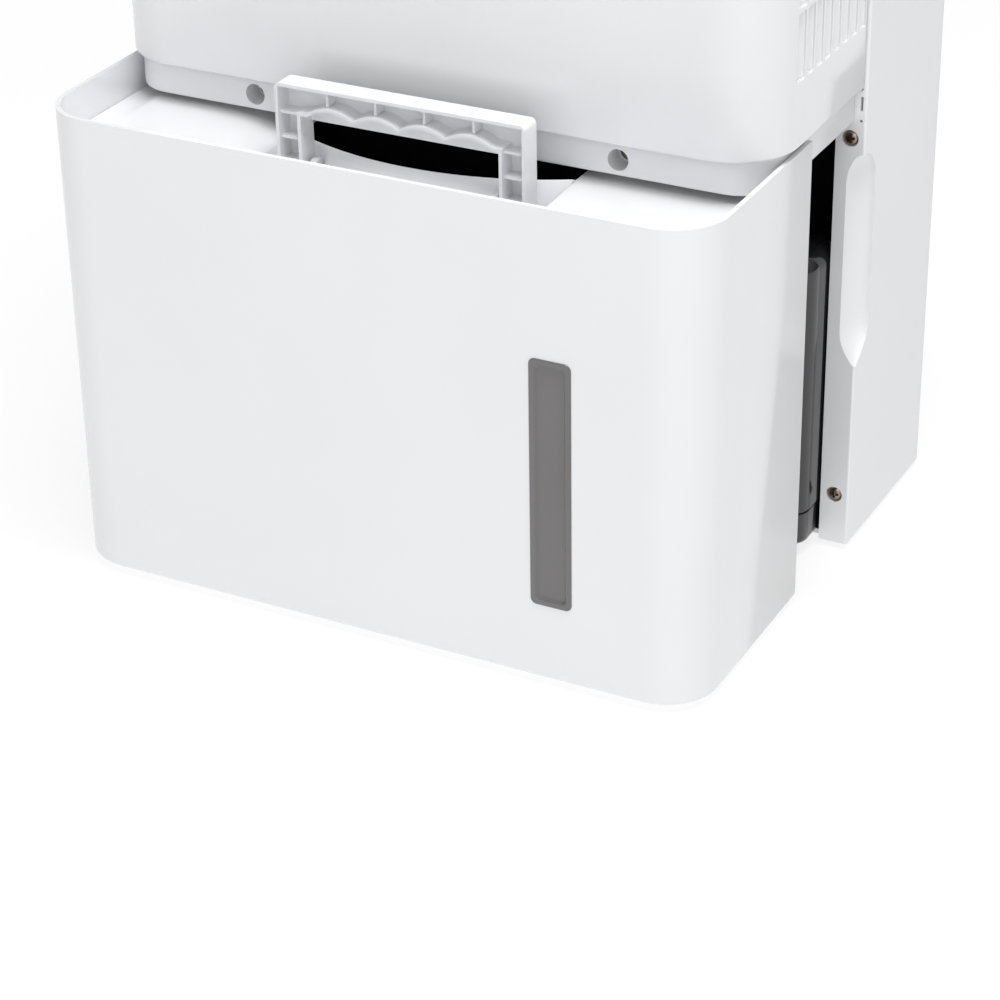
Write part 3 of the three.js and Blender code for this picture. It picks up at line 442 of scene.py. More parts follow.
def bucket_cover():
    shell = loft(cover_outline, levels_of(COVER_LOW.z, COVER_HIGH.z, low_round=4, steps=6))
    hollow = plan(COVER_HIGH.x - COVER_WALL, FACE + COVER_WALL, COVER_HIGH.y + 20, COVER_CORNER - COVER_WALL)
    shell = cut(shell, prism(hollow, COVER_LOW.z + 3, COVER_HIGH.z + 9))
    border = 2.6
    hole_x = (WINDOW_LOW.x + border, WINDOW_HIGH.x - border)
    hole = rounded(*hole_x, WINDOW_LOW.z + border, WINDOW_HIGH.z - border, 1.5)
    shell = cut(shell, prism(hole, FACE - 5, FACE + 10, "y"))
    return soften(shell, 0.8, 3)


def level_window():
    """A bevelled frame that stands a little proud, round a sunken pane."""
    x0, x1, z0, z1 = WINDOW_LOW.x, WINDOW_HIGH.x, WINDOW_LOW.z, WINDOW_HIGH.z
    frame_of = lambda d: rounded(x0 + d, x1 - d, z0 + d, z1 - d, 3.6 - d)
    proud = WINDOW_LOW.y
    body = loft(frame_of, [(0.7, proud), (0.25, proud + 0.2), (0, proud + 0.75)], "y")
    plug_of = lambda d: rounded(x0 + 2.9 + d, x1 - 2.9 - d, z0 + 2.9 + d, z1 - 2.9 - d, 1.2)
    body = join(body, prism(plug_of(0), FACE - 0.3, FACE + 2.3, "y"))
    slope_of = lambda d: rounded(x0 + 3 + d, x1 - 3 - d, z0 + 3 + d, z1 - 3 - d, 2.4)
    slope = loft(slope_of, [(0, proud - 1), (0, proud), (1.3, FACE + 0.9)], "y")
    return soften(cut(body, slope), 0.12, 2, 20)


# The lid's top is a height over a plan that follows the cover's curve and the mouth's lip.
HANDLE_LOW, HANDLE_HIGH = span("bucket_handle")
LID_LOW, LID_HIGH = span("tank_lid")
LID_HALF = LID_HIGH.x
LID_FRONT = LID_LOW.y
LID_CORNER = 27.2
LID_THICKNESS = 2.2
WELL_HALF = 84
WELL_FLOOR = LID_LOW.z + 2.4
LIP_FRONT = -143.5
LIP_END = -121
MOUTH_BACK = -76
LIP_RADIUS = (WELL_HALF**2 + (LIP_END - LIP_FRONT) ** 2) / (2 * (LIP_END - LIP_FRONT))
DECK_Z = 249.2
PLATEAU_Z = 251.6


def smooth(value, start, end):
    t = min(max((value - start) / (end - start), 0), 1)
    return t * t * (3 - 2 * t)


def lip_y(x):
    x = min(abs(x), WELL_HALF)
    return LIP_FRONT + LIP_RADIUS - math.sqrt(LIP_RADIUS**2 - x**2)


def lid_front(x):
    past = abs(x) - (LID_HALF - LID_CORNER)
    if past <= 0:
        return LID_FRONT
    return LID_FRONT + LID_CORNER - math.sqrt(max(LID_CORNER**2 - past**2, 0))


def deck_height(x, y):
    """The deck: low beside the cover's wall, with a plateau that falls away to the well on the left."""
    rise = PLATEAU_Z - DECK_Z
    if x < 0:
        across = smooth(x, -176, -168) * (1 - 0.25 * smooth(x, -140, -118))
        along = smooth(y, -150, -122)
        z = DECK_Z + rise * across * (0.35 + 0.65 * along)
        return z - 5.5 * smooth(x, -122 + 0.35 * (-122 - y), -WELL_HALF) ** 1.5
    return DECK_Z + rise * 0.5 * (1 - smooth(x, 168, 182)) * smooth(y, -160, -120)


def lid_height(x, y):
    deck = deck_height(x, y)
    wall_in = WELL_HALF - (4 if x < 0 else 1.5)
    wall_out = WELL_HALF + (3 if x < 0 else 0.6)
    outside = smooth(abs(x), wall_in, wall_out)
    lip = lip_y(x)
    middle = 1 - smooth(abs(x), 46, 54)
    foot = middle * -176 + (1 - middle) * (lip - 5)
    climb = max(min((y - foot) / (lip - foot), 1), 0)
    well = WELL_FLOOR + (250.4 - WELL_FLOOR) * (climb**1.7 * middle + smooth(climb, 0, 1) * (1 - middle))
    bead = 0.6 * smooth(y, lip - 1.6, lip - 0.4) * (1 - outside)
    return outside * deck + (1 - outside) * well + bead


def tank_lid():
    columns = sorted(
        {round(-LID_HALF + i * 2 * LID_HALF / 170, 3) for i in range(171)}
        | {s * (WELL_HALF + d) for s in (-1, 1) for d in (-3, -2, -1.5, -1, -0.5, 0, 0.6, 1.5)}
        | {s * (LID_HALF - d) for s in (-1, 1) for d in (0, 0.2, 0.6, 1.2)}
    )
    front_rows, mouth_rows, back_rows = 46, 12, 3
    bm = bmesh.new()
    grid = []
    for x in columns:
        front, lip = lid_front(x), lip_y(x)
        ys = [front + (lip - front) * i / front_rows for i in range(front_rows + 1)]
        ys[-2] = lip - 0.5
        ys += [lip + (MOUTH_BACK - lip) * i / mouth_rows for i in range(1, mouth_rows + 1)]
        ys += [MOUTH_BACK + (LID_HIGH.y - MOUTH_BACK) * i / back_rows for i in range(1, back_rows + 1)]
        grid.append([(x, y) for y in ys])
    height_at = lambda x, y: lid_height(x, y) if y <= lip_y(x) else deck_height(x, y)
    verts = [[bm.verts.new((x, y, height_at(x, y))) for x, y in line] for line in grid]
    for i in range(len(columns) - 1):
        middle_x = (columns[i] + columns[i + 1]) / 2
        for j in range(len(grid[0]) - 1):
            in_mouth = front_rows <= j < front_rows + mouth_rows and abs(middle_x) < WELL_HALF
            if not in_mouth:
                bm.faces.new((verts[i][j], verts[i + 1][j], verts[i + 1][j + 1], verts[i][j + 1]))
    bmesh.ops.remove_doubles(bm, verts=bm.verts[:], dist=0.02)
    lid = new_object(bm)
    thick = lid.modifiers.new("thick", "SOLIDIFY")
    thick.thickness = LID_THICKNESS
    thick.offset = -1
    thick.use_even_offset = False
    apply_modifiers(lid)
    return lid


PIN_LOW, PIN_HIGH = span("handle_pin_right")
PIVOT = ((HANDLE_LOW.y + HANDLE_HIGH.y) / 2, (PIN_LOW.z + PIN_HIGH.z) / 2)


def handle_brackets():
    """The two ears on the well's floor that hold the handle's pins, each with a gusset."""
    made = []
    for side in (-1, 1):
        x = sorted((side * (PIN_LOW.x - 0.5), side * (PIN_LOW.x + 3.2)))
        py, pz = PIVOT
        outline = [(py - 6, WELL_FLOOR - 1), (py + 6, WELL_FLOOR - 1)] + arc(py, pz + 3.5, 6, 0, 180, 14)
        ear = prism(outline, *x, "x")
        ear = cut(ear, round_bar("x", PIVOT, x[0] - 1, x[1] + 1, 2.7, sides=24))
        gusset_x = sorted((side * (PIN_LOW.x - 6.5), side * (PIN_LOW.x + 0.3)))
        tip = (gusset_x[1 if side > 0 else 0], pz + 2)
        triangle = [(gusset_x[0], WELL_FLOOR - 1), (gusset_x[1], WELL_FLOOR - 1), tip]
        gusset = prism(triangle, py - 1, py + 1, "y")
        made.append(soften(join(ear, gusset), 0.4, 2))
    return together(*made)


HANDLE_TOP = HANDLE_HIGH.z
HANDLE_HALF = HANDLE_HIGH.x
HANDLE_LEG = 14.7
HANDLE_WALL = 1.8
BAR_LOW = 266.5
SCALLOPS = 4


def scallop(x):
    """The grip's underside: a row of shallow arches for the fingers."""
    inner = HANDLE_HALF - HANDLE_LEG
    pitch = (2 * inner - 8) / SCALLOPS
    along = min(max((x + inner - 4) / pitch, 0), SCALLOPS)
    return BAR_LOW + 6 + 4.5 * abs(math.sin(math.pi * along)) ** 0.85


def bucket_handle():
    h, t = HANDLE_HALF, HANDLE_WALL
    inner = h - HANDLE_LEG
    y0, y1 = HANDLE_LOW.y, HANDLE_HIGH.y
    hollow_y = (y0 - 1, y1 - t)
    rib_y = (y0 + 2.5, y1 - t + 0.5)
    py, pz = PIVOT
    bow = prism(rounded(-h, h, pz, HANDLE_TOP, 3.2), y0, y1, "y")
    bow = cut(bow, block((-inner, inner), (y0 - 1, y1 + 1), (pz - 1, BAR_LOW)))
    for side in (-1, 1):
        channel = sorted((side * (inner + t), side * (h - t)))
        bow = cut(bow, block(channel, hollow_y, (pz + 7.5, BAR_LOW + 4)))
    steps = [-inner + i * 2 * inner / 96 for i in range(97)]
    shoulder = BAR_LOW + 3.5
    hollow = [(h - t, shoulder), (h - t, HANDLE_TOP - t), (-h + t, HANDLE_TOP - t), (-h + t, shoulder)]
    hollow += [(-inner - t, shoulder), (-inner - t, scallop(-inner) + t)]
    hollow += [(x, scallop(x) + t) for x in steps[1:-1]]
    hollow += [(inner + t, scallop(inner) + t), (inner + t, shoulder)]
    below = [(inner, BAR_LOW - 1), (-inner, BAR_LOW - 1)] + [(x, scallop(x)) for x in steps]
    bow = cut(bow, prism(hollow, *hollow_y, "y"), prism(below, *hollow_y, "y"))
    for x in (-42, -14, 14, 42):
        bow = join(bow, block((x - 0.7, x + 0.7), rib_y, (HANDLE_TOP - 9.5, HANDLE_TOP - t + 0.5)))
    for side in (-1, 1):
        rib_x = sorted((side * (inner + t - 0.5), side * (h - t + 0.5)))
        for z in (BAR_LOW - 8.5, BAR_LOW + 5):
            bow = join(bow, block(rib_x, rib_y, (z, z + 1.2)))
        boss_x = sorted((side * inner, side * h))
        bow = join(bow, prism(circle(py, pz, (y1 - y0) / 2 - 0.01), *boss_x, "x"))
        bore_x = sorted((side * (inner - 2), side * (PIN_HIGH.x + 0.4)))
        bow = cut(bow, prism(circle(py, pz, 2.7, 24), *bore_x, "x"))
    return soften(bow, 0.35, 2, 40)


TANK_LOW, TANK_HIGH = span("water_tank")
TANK_REAR = LID_HIGH.y
LOBE_X = 60
LOBE_NECK = 162
LOBE_BULGE = -23
LOBE_TOP = 182
STEP_Z = 28


def tank_outline(x0, x1, y0, y1):
    return lambda inset: rounded(x0 + inset, x1 - inset, y0 + inset, y1 - inset, 12 - min(inset, 11.5), 12)


def foot_levels(low):
    """The tank's foot: upright, with a fine groove above it and rounded under."""
    rounding = [(2.6, low), (1.5, low + 0.6), (0.9, low + 1.5), (0.7, low + 3)]
    groove = [(0.7, STEP_Z - 1.0), (1.7, STEP_Z - 0.5), (1.7, STEP_Z + 0.1), (0, STEP_Z + 0.8)]
    return rounding + groove


def water_tank():
    """Full width at the front, with a lower lobe on the right that narrows to a neck and swells again."""
    half, low, top = TANK_HIGH.x, TANK_LOW.z, TANK_HIGH.z
    wall = 2.4
    main = tank_outline(-half, half, TANK_LOW.y, TANK_REAR)
    neck = tank_outline(LOBE_X, LOBE_NECK, TANK_REAR - 40, TANK_HIGH.y)
    bulge = tank_outline(LOBE_X, half, LOBE_BULGE, TANK_HIGH.y)
    shoulder = levels_of(low, LOBE_TOP, high_round=10, steps=8)[1:]
    hollow = [(6, low + 2.2), (3.4, low + 3), (3.4, STEP_Z + 2)]
    lobe_hollow = hollow + [(wall, STEP_Z + 4), (wall, LOBE_TOP - 12), (8, LOBE_TOP - wall)]
    outside = join(
        loft(main, foot_levels(low) + [(0, top)]),
        loft(neck, foot_levels(low) + shoulder),
        loft(bulge, foot_levels(low) + shoulder),
    )
    inside = join(
        loft(main, hollow + [(wall, STEP_Z + 4), (wall, top + 5)]),
        loft(neck, lobe_hollow),
        loft(bulge, lobe_hollow),
    )
    notch = block((-87, 87), (TANK_LOW.y - 1, TANK_LOW.y + 8), (WELL_FLOOR - 2.8, top + 5))
    return soften(cut(outside, inside, notch), 0.4, 2, 50)


stand_for(bucket_cover(), "bucket_front", "bucket_cover")
stand_for(level_window(), "level_window", "level_window_insert")
stand_for(shade(together(tank_lid(), handle_brackets()), 40), "tank_lid", "tank_lid_moulding")
stand_for(bucket_handle(), "bucket_handle", "carrying_handle")
stand_for(water_tank(), "water_tank", "smoked_tank")

# ---------- outer shells ----------
REAR_LOW, REAR_HIGH = span("rear_casing")
FRONT_LOW, FRONT_HIGH = span("front_casing")
PANEL_LOW, PANEL_HIGH = span("bay_top_panel")
TOP_LOW, TOP_HIGH = span("top_cover")
WALL = 2.4
FRONT_CORNER = 35
FLANGE_INNER = 176.5
FLANGE_THICK = 4.4
SPOUT_Y = -34
SCREWS = [span(f"flange_screw_right_{level}") for level in ("lower", "upper")]
SCREW_X = (SCREWS[0][0].x + SCREWS[0][1].x) / 2
SCREW_ZS = [(low.z + high.z) / 2 for low, high in SCREWS]


def finger_scoop(side):
    """A tall, narrow hollow across the casing's front corner, with an arch above a pointed foot."""
    across, back = 9.5, 18
    tip, wide_from, wide_to, top = 114, 134, 219, 238
    profile = []
    for i in range(11):
        t = i / 10
        profile.append((math.sin(math.pi / 2 * t) ** 0.8, tip + (wide_from - tip) * t))
    for i in range(1, 17):
        angle = math.pi / 2 * i / 16
        profile.append((max(math.cos(angle), 0.002), wide_to + (top - wide_to) * math.sin(angle)))
    levels = [(1 - max(r, 0.002), z) for r, z in profile]

    def ring(inset):
        reach = 1 - inset
        corner = side * REAR_HIGH.x
        return [(corner + across * reach * u, back * reach * v) for u, v in circle(0, 0, 1, 48)]

    return loft(ring, levels)


def rear_casing():
    half, depth = REAR_HIGH.x, REAR_HIGH.y
    outline_of = lambda inset: plan(half - inset, 0, depth - inset, 1.2, 10 - inset)
    inner = plan(half - WALL, -5, depth - WALL, 0, 10 - WALL)
    shell = cut(prism(outline_of(0), REAR_LOW.z, REAR_HIGH.z), prism(inner, REAR_LOW.z - 5, REAR_HIGH.z + 5))
    for side in (-1, 1):
        x = sorted((side * FLANGE_INNER, side * (half - 1)))
        shell = join(shell, block(x, (0.01, FLANGE_THICK), (REAR_LOW.z + 0.01, FRONT_LOW.z - 1)))
        shell = join(shell, block(x, (0.02, 22), (106, 249)))
        shell = cut(shell, finger_scoop(side))
        slit = sorted((side * 189.5, side * 190.9))
        shell = cut(shell, block(slit, (-1, FLANGE_THICK + 1), (262, 270)))
        shell = cut(shell, prism(circle(side * 190.2, 256.5, 0.8, 16), -1, FLANGE_THICK + 1, "y"))
        for z in SCREW_ZS:
            seat = prism(circle(side * SCREW_X, z, 4.7, 32), -1, 2.6, "y")
            bore = prism(circle(side * SCREW_X, z, 2.3, 16), -1, 17, "y")
            shell = cut(shell, seat, bore)
        grip_low, grip_high = span("carry_grip_right")
        pocket = rounded(grip_low.y + 2, grip_high.y - 2, grip_low.z + 2, grip_high.z - 2, 8, 10)
        pocket_x = sorted((side * (half - 5), side * (half + 1)))
        shell = cut(shell, prism(pocket, *pocket_x, "x"))
    grille_low, grille_high = span("intake_grille")
    opening = rounded(grille_low.x + 6, grille_high.x - 6, grille_low.z + 6, grille_high.z - 6, 6)
    shell = cut(shell, prism(opening, depth - 5, depth + 1, "y"))
    inlet_low, inlet_high = span("cord_inlet")
    centre = ((inlet_low.x + inlet_high.x) / 2, (inlet_low.z + inlet_high.z) / 2)
    shell = cut(shell, prism(circle(*centre, 8.3, 32), depth - 5, depth + 1, "y"))
    return soften(shell, 0.5, 2, 40)


def front_casing():
    half, face, back = FRONT_HIGH.x, FRONT_LOW.y, FRONT_HIGH.y
    outline_of = lambda inset: plan(half - inset, face + inset, back, FRONT_CORNER - inset)
    shell = loft(outline_of, levels_of(FRONT_LOW.z, FRONT_HIGH.z, low_round=1.6, steps=4))
    inner = plan(half - WALL, face + WALL, back + 9, FRONT_CORNER - WALL)
    shell = cut(shell, prism(inner, FRONT_LOW.z - 5, FRONT_HIGH.z + 5))
    slots, vanes = [], []
    slot_wide, bar, row_high, row_pitch = 9.09, 2.6, 35.6, 37.6
    for row in range(3):
        z0 = 310 + row * row_pitch
        for i in range(8):
            y0 = -94.3 + i * (slot_wide + bar)
            y1 = y0 + slot_wide
            slots.append(prism(rounded(y0, y1, z0, z0 + row_high, 1.2, 4), half - 8, half + 3, "x"))
            vane = [(half - 0.9, y1 - 0.1), (half - 0.9, y1 + 0.6)]
            vane += [(half - 5.6, y0 + 2.6), (half - 4.6, y0 + 1.8)]
            vanes.append(prism(vane, z0 - 1, z0 + row_high + 1))
    shell = soften(cut(shell, together(*slots)), 0.45, 2, 40)
    return together(shell, *vanes)


def bay_top_panel():
    half, face, back = PANEL_HIGH.x, PANEL_LOW.y, PANEL_HIGH.y
    low, high = PANEL_LOW.z, PANEL_HIGH.z
    corner, plate = 24, 269
    outline_of = lambda inset: plan(half - inset, face + inset, back, corner - inset)
    shell = loft(outline_of, levels_of(low, high, low_round=1.2, steps=4))
    shell = cut(shell, prism(plan(half - WALL, face + WALL, back + 9, corner - WALL), low - 5, plate))
    for node in ("panel_screw_left", "panel_screw_right"):
        screw_low, screw_high = span(node)
        centre = ((screw_low.x + screw_high.x) / 2, (screw_low.z + screw_high.z) / 2)
        shell = join(shell, prism(circle(*centre, 7.6, 40), face + 1, face + 17, "y"))
        shell = cut(shell, prism(circle(*centre, 5.75, 40), face - 1, face + 13, "y"))
        shell = cut(shell, prism(circle(*centre, 2.3, 16), face + 1, face + 20, "y"))
    shell = cut(shell, prism(circle(0, SPOUT_Y, 9, 32), 264, high + 1))
    return soften(shell, 0.5, 2, 40)


stand_for(rear_casing(), "rear_casing", "rear_shell")
stand_for(front_casing(), "front_casing", "front_shell")
stand_for(bay_top_panel(), "bay_top_panel", "bay_ceiling")

# ---------- small fittings ----------
def screw(node):
    """A domed pan head with a cross recess, above a threaded shank."""
    low, high = span(node)
    centre = ((low.x + high.x) / 2, (low.z + high.z) / 2)
    radius, face, depth = (high.x - low.x) / 2, low.y, 2.2
    dome = [(1, 0), (0.72, 0.04), (0.4, 0.3), (0.16, 0.8)]
    dome = [(min(radius * share, radius - 0.4), face + drop) for share, drop in dome]
    head = loft(lambda d: circle(*centre, radius - d, 48), dome + [(0, face + 1.4), (0, face + depth)], "y")
    arm, blade = radius * 0.6, 0.72
    for half_x, half_z in ((arm, blade), (blade, arm)):
        x0, x1 = centre[0] - half_x, centre[0] + half_x
        z0, z1 = centre[1] - half_z, centre[1] + half_z
        wing = lambda d: rounded(x0 + d, x1 - d, z0 + d, z1 - d, 0.05, 1)
        head = cut(head, loft(wing, [(0, face - 1), (0, face + 0.1), (0.5, face + 1.5)], "y"))
    turns = 20
    start = face + depth
    pitch = (high.y - start - 1) / turns
    ridges = [(0.35 * (i % 2), start + i * pitch) for i in range(turns + 1)]
    shank = loft(lambda d: circle(*centre, 2 - d, 20), [(0.3, start - 0.01)] + ridges + [(1.9, high.y)], "y")
    return shade(together(head, shank), 30)


def foot(node):
    """A rubber foot with a round edge and a ringed tread."""
    low, high = span(node)
    centre = ((low.x + high.x) / 2, (low.y + high.y) / 2)
    radius = (high.x - low.x) / 2
    body = round_bar("z", centre, low.z, high.z, radius, low_round=1.6)
    groove_outer, groove_inner = 7, 5.6
    ring = prism(circle(*centre, groove_outer, 48), low.z - 1, low.z + 0.5)
    core = prism(circle(*centre, groove_inner, 48), low.z - 2, low.z + 1)
    return shade(cut(body, cut(ring, core)), 30)


def carry_grip(node, side):
    """The cup behind a carry hole, with its far end rounded for the fingers."""
    low, high = span(node)
    open_face, far = (high.x, low.x) if side > 0 else (low.x, high.x)
    cup = prism(rounded(low.y, high.y, low.z, high.z, 9, 10), low.x, high.x, "x")
    y0, y1, z0, z1 = low.y + 2, high.y - 2, low.z + 2, high.z - 2
    hollow_of = lambda d: rounded(y0 + d, y1 - d, z0 + d, z1 - d, max(8 - d, 0.5), 10)
    floor_x = far + side * 2
    levels = [(0, open_face + side)] + [(0, floor_x + side * 6)]
    for i in range(1, 7):
        angle = math.pi / 2 * i / 6
        levels.append((6 * (1 - math.cos(angle)), floor_x + side * 6 * (1 - math.sin(angle))))
    return soften(cut(cup, loft(hollow_of, levels, "x")), 0.5, 2, 40)


def cord_inlet():
    """The bush the mains lead passes through: a flanged ring with a round lip."""
    low, high = span("cord_inlet")
    centre = ((low.x + high.x) / 2, (low.z + high.z) / 2)
    radius = (high.x - low.x) / 2
    wide = round_bar("y", centre, REAR_HIGH.y + 0.3, high.y, radius, high_round=1.2)
    body = prism(circle(*centre, 8, 48), low.y, REAR_HIGH.y + 1, "y")
    bore = lambda d: circle(*centre, 4.2 + 1.6 - d, 40)
    lip = [(1.6, high.y - 1.2), (0.9, high.y - 0.4), (0, high.y), (0, high.y + 1)]
    hole = loft(bore, [(1.6, low.y - 1)] + lip, "y")
    return soften(cut(join(wide, body), hole), 0.25, 2, 40)


for node in frame["nodes"]:
    if "_screw_" in node:
        stand_for(screw(node), node, node + "_pan_head")
    if node.startswith("foot_"):
        stand_for(foot(node), node, node + "_pad")
for side_name, side in (("left", -1), ("right", 1)):
    node = "carry_grip_" + side_name
    stand_for(carry_grip(node, side), node, node + "_cup")
stand_for(cord_inlet(), "cord_inlet", "cord_inlet_bush")


# ---------- top and controls ----------
PLATE_LOW, PLATE_HIGH = span("control_panel")
GLASS_LOW, GLASS_HIGH = span("display_window")
KEYS = ["power", "mode", "humidity", "fan_speed", "timer"]


def key_place(key):
    low, high = span(key + "_button")
    return (low.x + high.x) / 2, (low.y + high.y) / 2, high.z


def top_cover():
    """The domed lid of the machine, with a shallow seat for the control plate."""
    half, face, depth = TOP_HIGH.x, TOP_LOW.y, TOP_HIGH.y
    outline_of = lambda d: plan(half - d, face + d, depth - d, FRONT_CORNER - d, 10 - d)
    shell = loft(outline_of, levels_of(TOP_LOW.z, TOP_HIGH.z, high_round=9, steps=9))
    seat_z = PLATE_LOW.z - 0.3
    shell = cut(shell, prism(outline_of(WALL), TOP_LOW.z - 5, seat_z - WALL))
    x0, x1, y0, y1 = PLATE_LOW.x, PLATE_HIGH.x, PLATE_LOW.y, PLATE_HIGH.y
    seat_of = lambda d: rounded(x0 - d, x1 + d, y0 - d, y1 + d, 12, 12)
    seat = [(0.3, seat_z), (0.3, TOP_HIGH.z - 0.9), (1.2, TOP_HIGH.z), (2, TOP_HIGH.z + 1)]
    shell = cut(shell, loft(seat_of, seat))
    shell = cut(shell, prism(seat_of(-6), seat_z - 9, TOP_HIGH.z))
    return soften(shell, 0.3, 2, 40)


def control_plate():
    """The glossy plate, cut for the display and the keys, with a fine round edge at each."""
    outline = rounded(PLATE_LOW.x, PLATE_HIGH.x, PLATE_LOW.y, PLATE_HIGH.y, 12, 12)
    plate = prism(outline, PLATE_LOW.z, PLATE_HIGH.z)
    for key in KEYS:
        x, y, _ = key_place(key)
        plate = cut(plate, prism(circle(x, y, 7.4), PLATE_LOW.z - 1, PLATE_HIGH.z + 1))
    opening = rounded(GLASS_LOW.x - 0.3, GLASS_HIGH.x + 0.3, GLASS_LOW.y - 0.3, GLASS_HIGH.y + 0.3, 1.2, 4)
    plate = cut(plate, prism(opening, PLATE_LOW.z - 1, PLATE_HIGH.z + 1))
    return soften(plate, 0.35, 3, 40)


def display_glass():
    outline = rounded(GLASS_LOW.x, GLASS_HIGH.x, GLASS_LOW.y, GLASS_HIGH.y, 1.2, 4)
    return soften(prism(outline, GLASS_LOW.z, GLASS_HIGH.z), 0.3, 2, 40)


def key_cap(key):
    """A dished cap with a round rim, over the flange and stem that work its switch."""
    stem_low = span(key + "_button")[0].z
    x, y, top = key_place(key)
    dish = [(7, -0.32), (5.2, -0.3), (3.2, -0.2), (1.4, -0.02), (0.7, 0), (0.25, -0.25)]
    dish = [(inset, top + drop) for inset, drop in dish]
    flange_low, flange_high = PLATE_LOW.z - 2.1, PLATE_LOW.z - 0.5
    levels = [(-1.6, flange_low), (-1.6, flange_high), (0, flange_high), (0, top - 0.8)]
    levels += [(min(d, 6.95), z) for d, z in reversed(dish)]
    cap = loft(lambda d: circle(x, y, 7 - d), levels)
    stem = round_bar("z", (x, y), stem_low, flange_low + 0.2, 2, low_round=0.6, sides=24)
    return shade(join(cap, stem), 30)


def flat_ring(x, y, z, inner, outer, start=0, end=360, steps=48):
    """A thin raised arc, as printed on a key."""
    points = arc(x, y, outer, start, end, steps) + arc(x, y, inner, start, end, steps)[::-1]
    if end - start < 360:
        return prism(points, z - 0.1, z + 0.05)
    band = prism(circle(x, y, outer), z - 0.1, z + 0.05)
    return cut(band, prism(circle(x, y, inner), z - 1, z + 1))


def bar_mark(x, y, z, length, width, degrees=0):
    """A thin raised bar, turned about its middle."""
    c, s = math.cos(math.radians(degrees)), math.sin(math.radians(degrees))
    a, b = length / 2, width / 2
    corners = [(-a, -b), (a, -b), (a, b), (-a, b)]
    return prism([(x + u * c - v * s, y + u * s + v * c) for u, v in corners], z - 0.1, z + 0.05)


def drop_mark(x, y, z):
    body = arc(x, y - 0.7, 1.9, -220, 40, 24)
    return prism(body + [(x, y + 3.2)], z - 0.1, z + 0.05)


def key_marks(key):
    """A plain symbol for each key."""
    x, y, top = key_place(key)
    z = top - 0.27
    if key == "power":
        return together(flat_ring(x, y, z, 2.2, 2.8, 120, 420), bar_mark(x, y + 1.9, z, 2.6, 0.6, 90))
    if key == "mode":
        return together(*[bar_mark(x, y + step, z, 4.6, 0.6) for step in (-1.7, 0, 1.7)])
    if key == "humidity":
        return drop_mark(x, y, z)
    if key == "fan_speed":
        blades = []
        for turn in (90, 210, 330):
            angle = math.radians(turn)
            outline = circle(x + 1.6 * math.cos(angle), y + 1.6 * math.sin(angle), 1.15, 24)
            blades.append(prism(outline, z - 0.1, z + 0.05))
        return together(*blades)
    hands = [bar_mark(x, y + 0.8, z, 1.8, 0.5, 90), bar_mark(x + 0.6, y, z, 1.4, 0.5)]
    return together(flat_ring(x, y, z, 2.3, 2.8), *hands)


def level_bars():
    """The lit bars of the display, rising from left to right."""
    bars = []
    count, width = 9, 2.6
    for i in range(count):
        x = (i - (count - 1) / 2) * 5
        tall = 3 + i * 1.1
        y = (GLASS_LOW.y + GLASS_HIGH.y) / 2 - 6 + tall / 2
        outline = rounded(x - width / 2, x + width / 2, y - tall / 2, y + tall / 2, 0.5, 3)
        bars.append(prism(outline, GLASS_HIGH.z - 0.1, GLASS_HIGH.z + 0.05))
    return together(*bars)


stand_for(top_cover(), "top_cover", "top_moulding")
stand_for(control_plate(), "control_panel", "control_plate")
stand_for(display_glass(), "display_window", "display_glass")
add_to(level_bars(), "display_window", "display_level_bars", "button_white")
for key in KEYS:
    stand_for(key_cap(key), key + "_button", key + "_key_cap")
    add_to(key_marks(key), key + "_button", key + "_key_mark", "black_plastic")


# ---------- air path ----------
GRILLE_LOW, GRILLE_HIGH = span("intake_grille")


def intake_grille():
    """The pull-off grille: a bevelled frame with a middle post and round-edged bars."""
    x0, x1, z0, z1 = GRILLE_LOW.x, GRILLE_HIGH.x, GRILLE_LOW.z, GRILLE_HIGH.z
    face, back = REAR_HIGH.y + 0.3, GRILLE_HIGH.y
    outline_of = lambda d: rounded(x0 + d, x1 - d, z0 + d, z1 - d, 8 - d, 8)
    body = loft(outline_of, levels_of(face, back, high_round=2.4, steps=5), "y")
    margin, bars, post = 12, 12, 3
    pitch = (z1 - z0 - 2 * margin) / bars
    slots = []
    for i in range(bars):
        z = z0 + margin + i * pitch
        for side in (-1, 1):
            x = sorted((side * post, side * (x1 - margin)))
            slots.append(prism(rounded(*x, z + 2, z + pitch - 2, 2, 4), face - 2, back + 2, "y"))
    body = soften(cut(body, together(*slots)), 0.7, 3, 40)
    plug = prism(rounded(x0 + 7, x1 - 7, z0 + 7, z1 - 7, 6), GRILLE_LOW.y, face + 0.2, "y")
    hollow = prism(rounded(x0 + 10, x1 - 10, z0 + 10, z1 - 10, 3), GRILLE_LOW.y - 1, face + 1, "y")
    return together(body, soften(cut(plug, hollow), 0.4, 2, 40))


def air_filter():
    """A ribbed frame with a fine web across each of its six panels."""
    low, high = span("air_filter")
    rim, panels = 4.5, 6
    frame_of = prism(rounded(low.x, high.x, low.z, high.z, 2, 4), low.y, high.y, "y")
    width = (high.x - low.x - rim) / panels
    holes, webs = [], []
    for i in range(panels):
        x = low.x + rim / 2 + i * width
        area = (x + 1.5, x + width - 1.5, low.z + rim, high.z - rim)
        holes.append(prism(rounded(*area, 2, 4), low.y - 1, high.y + 1, "y"))
        web_x, web_z = (area[0] - 0.5, area[1] + 0.5), (area[2] - 0.5, area[3] + 0.5)
        webs.append(block(web_x, (low.y + 1.8, low.y + 2.2), web_z))
    return together(soften(cut(frame_of, together(*holes)), 0.4, 2, 40), *webs)


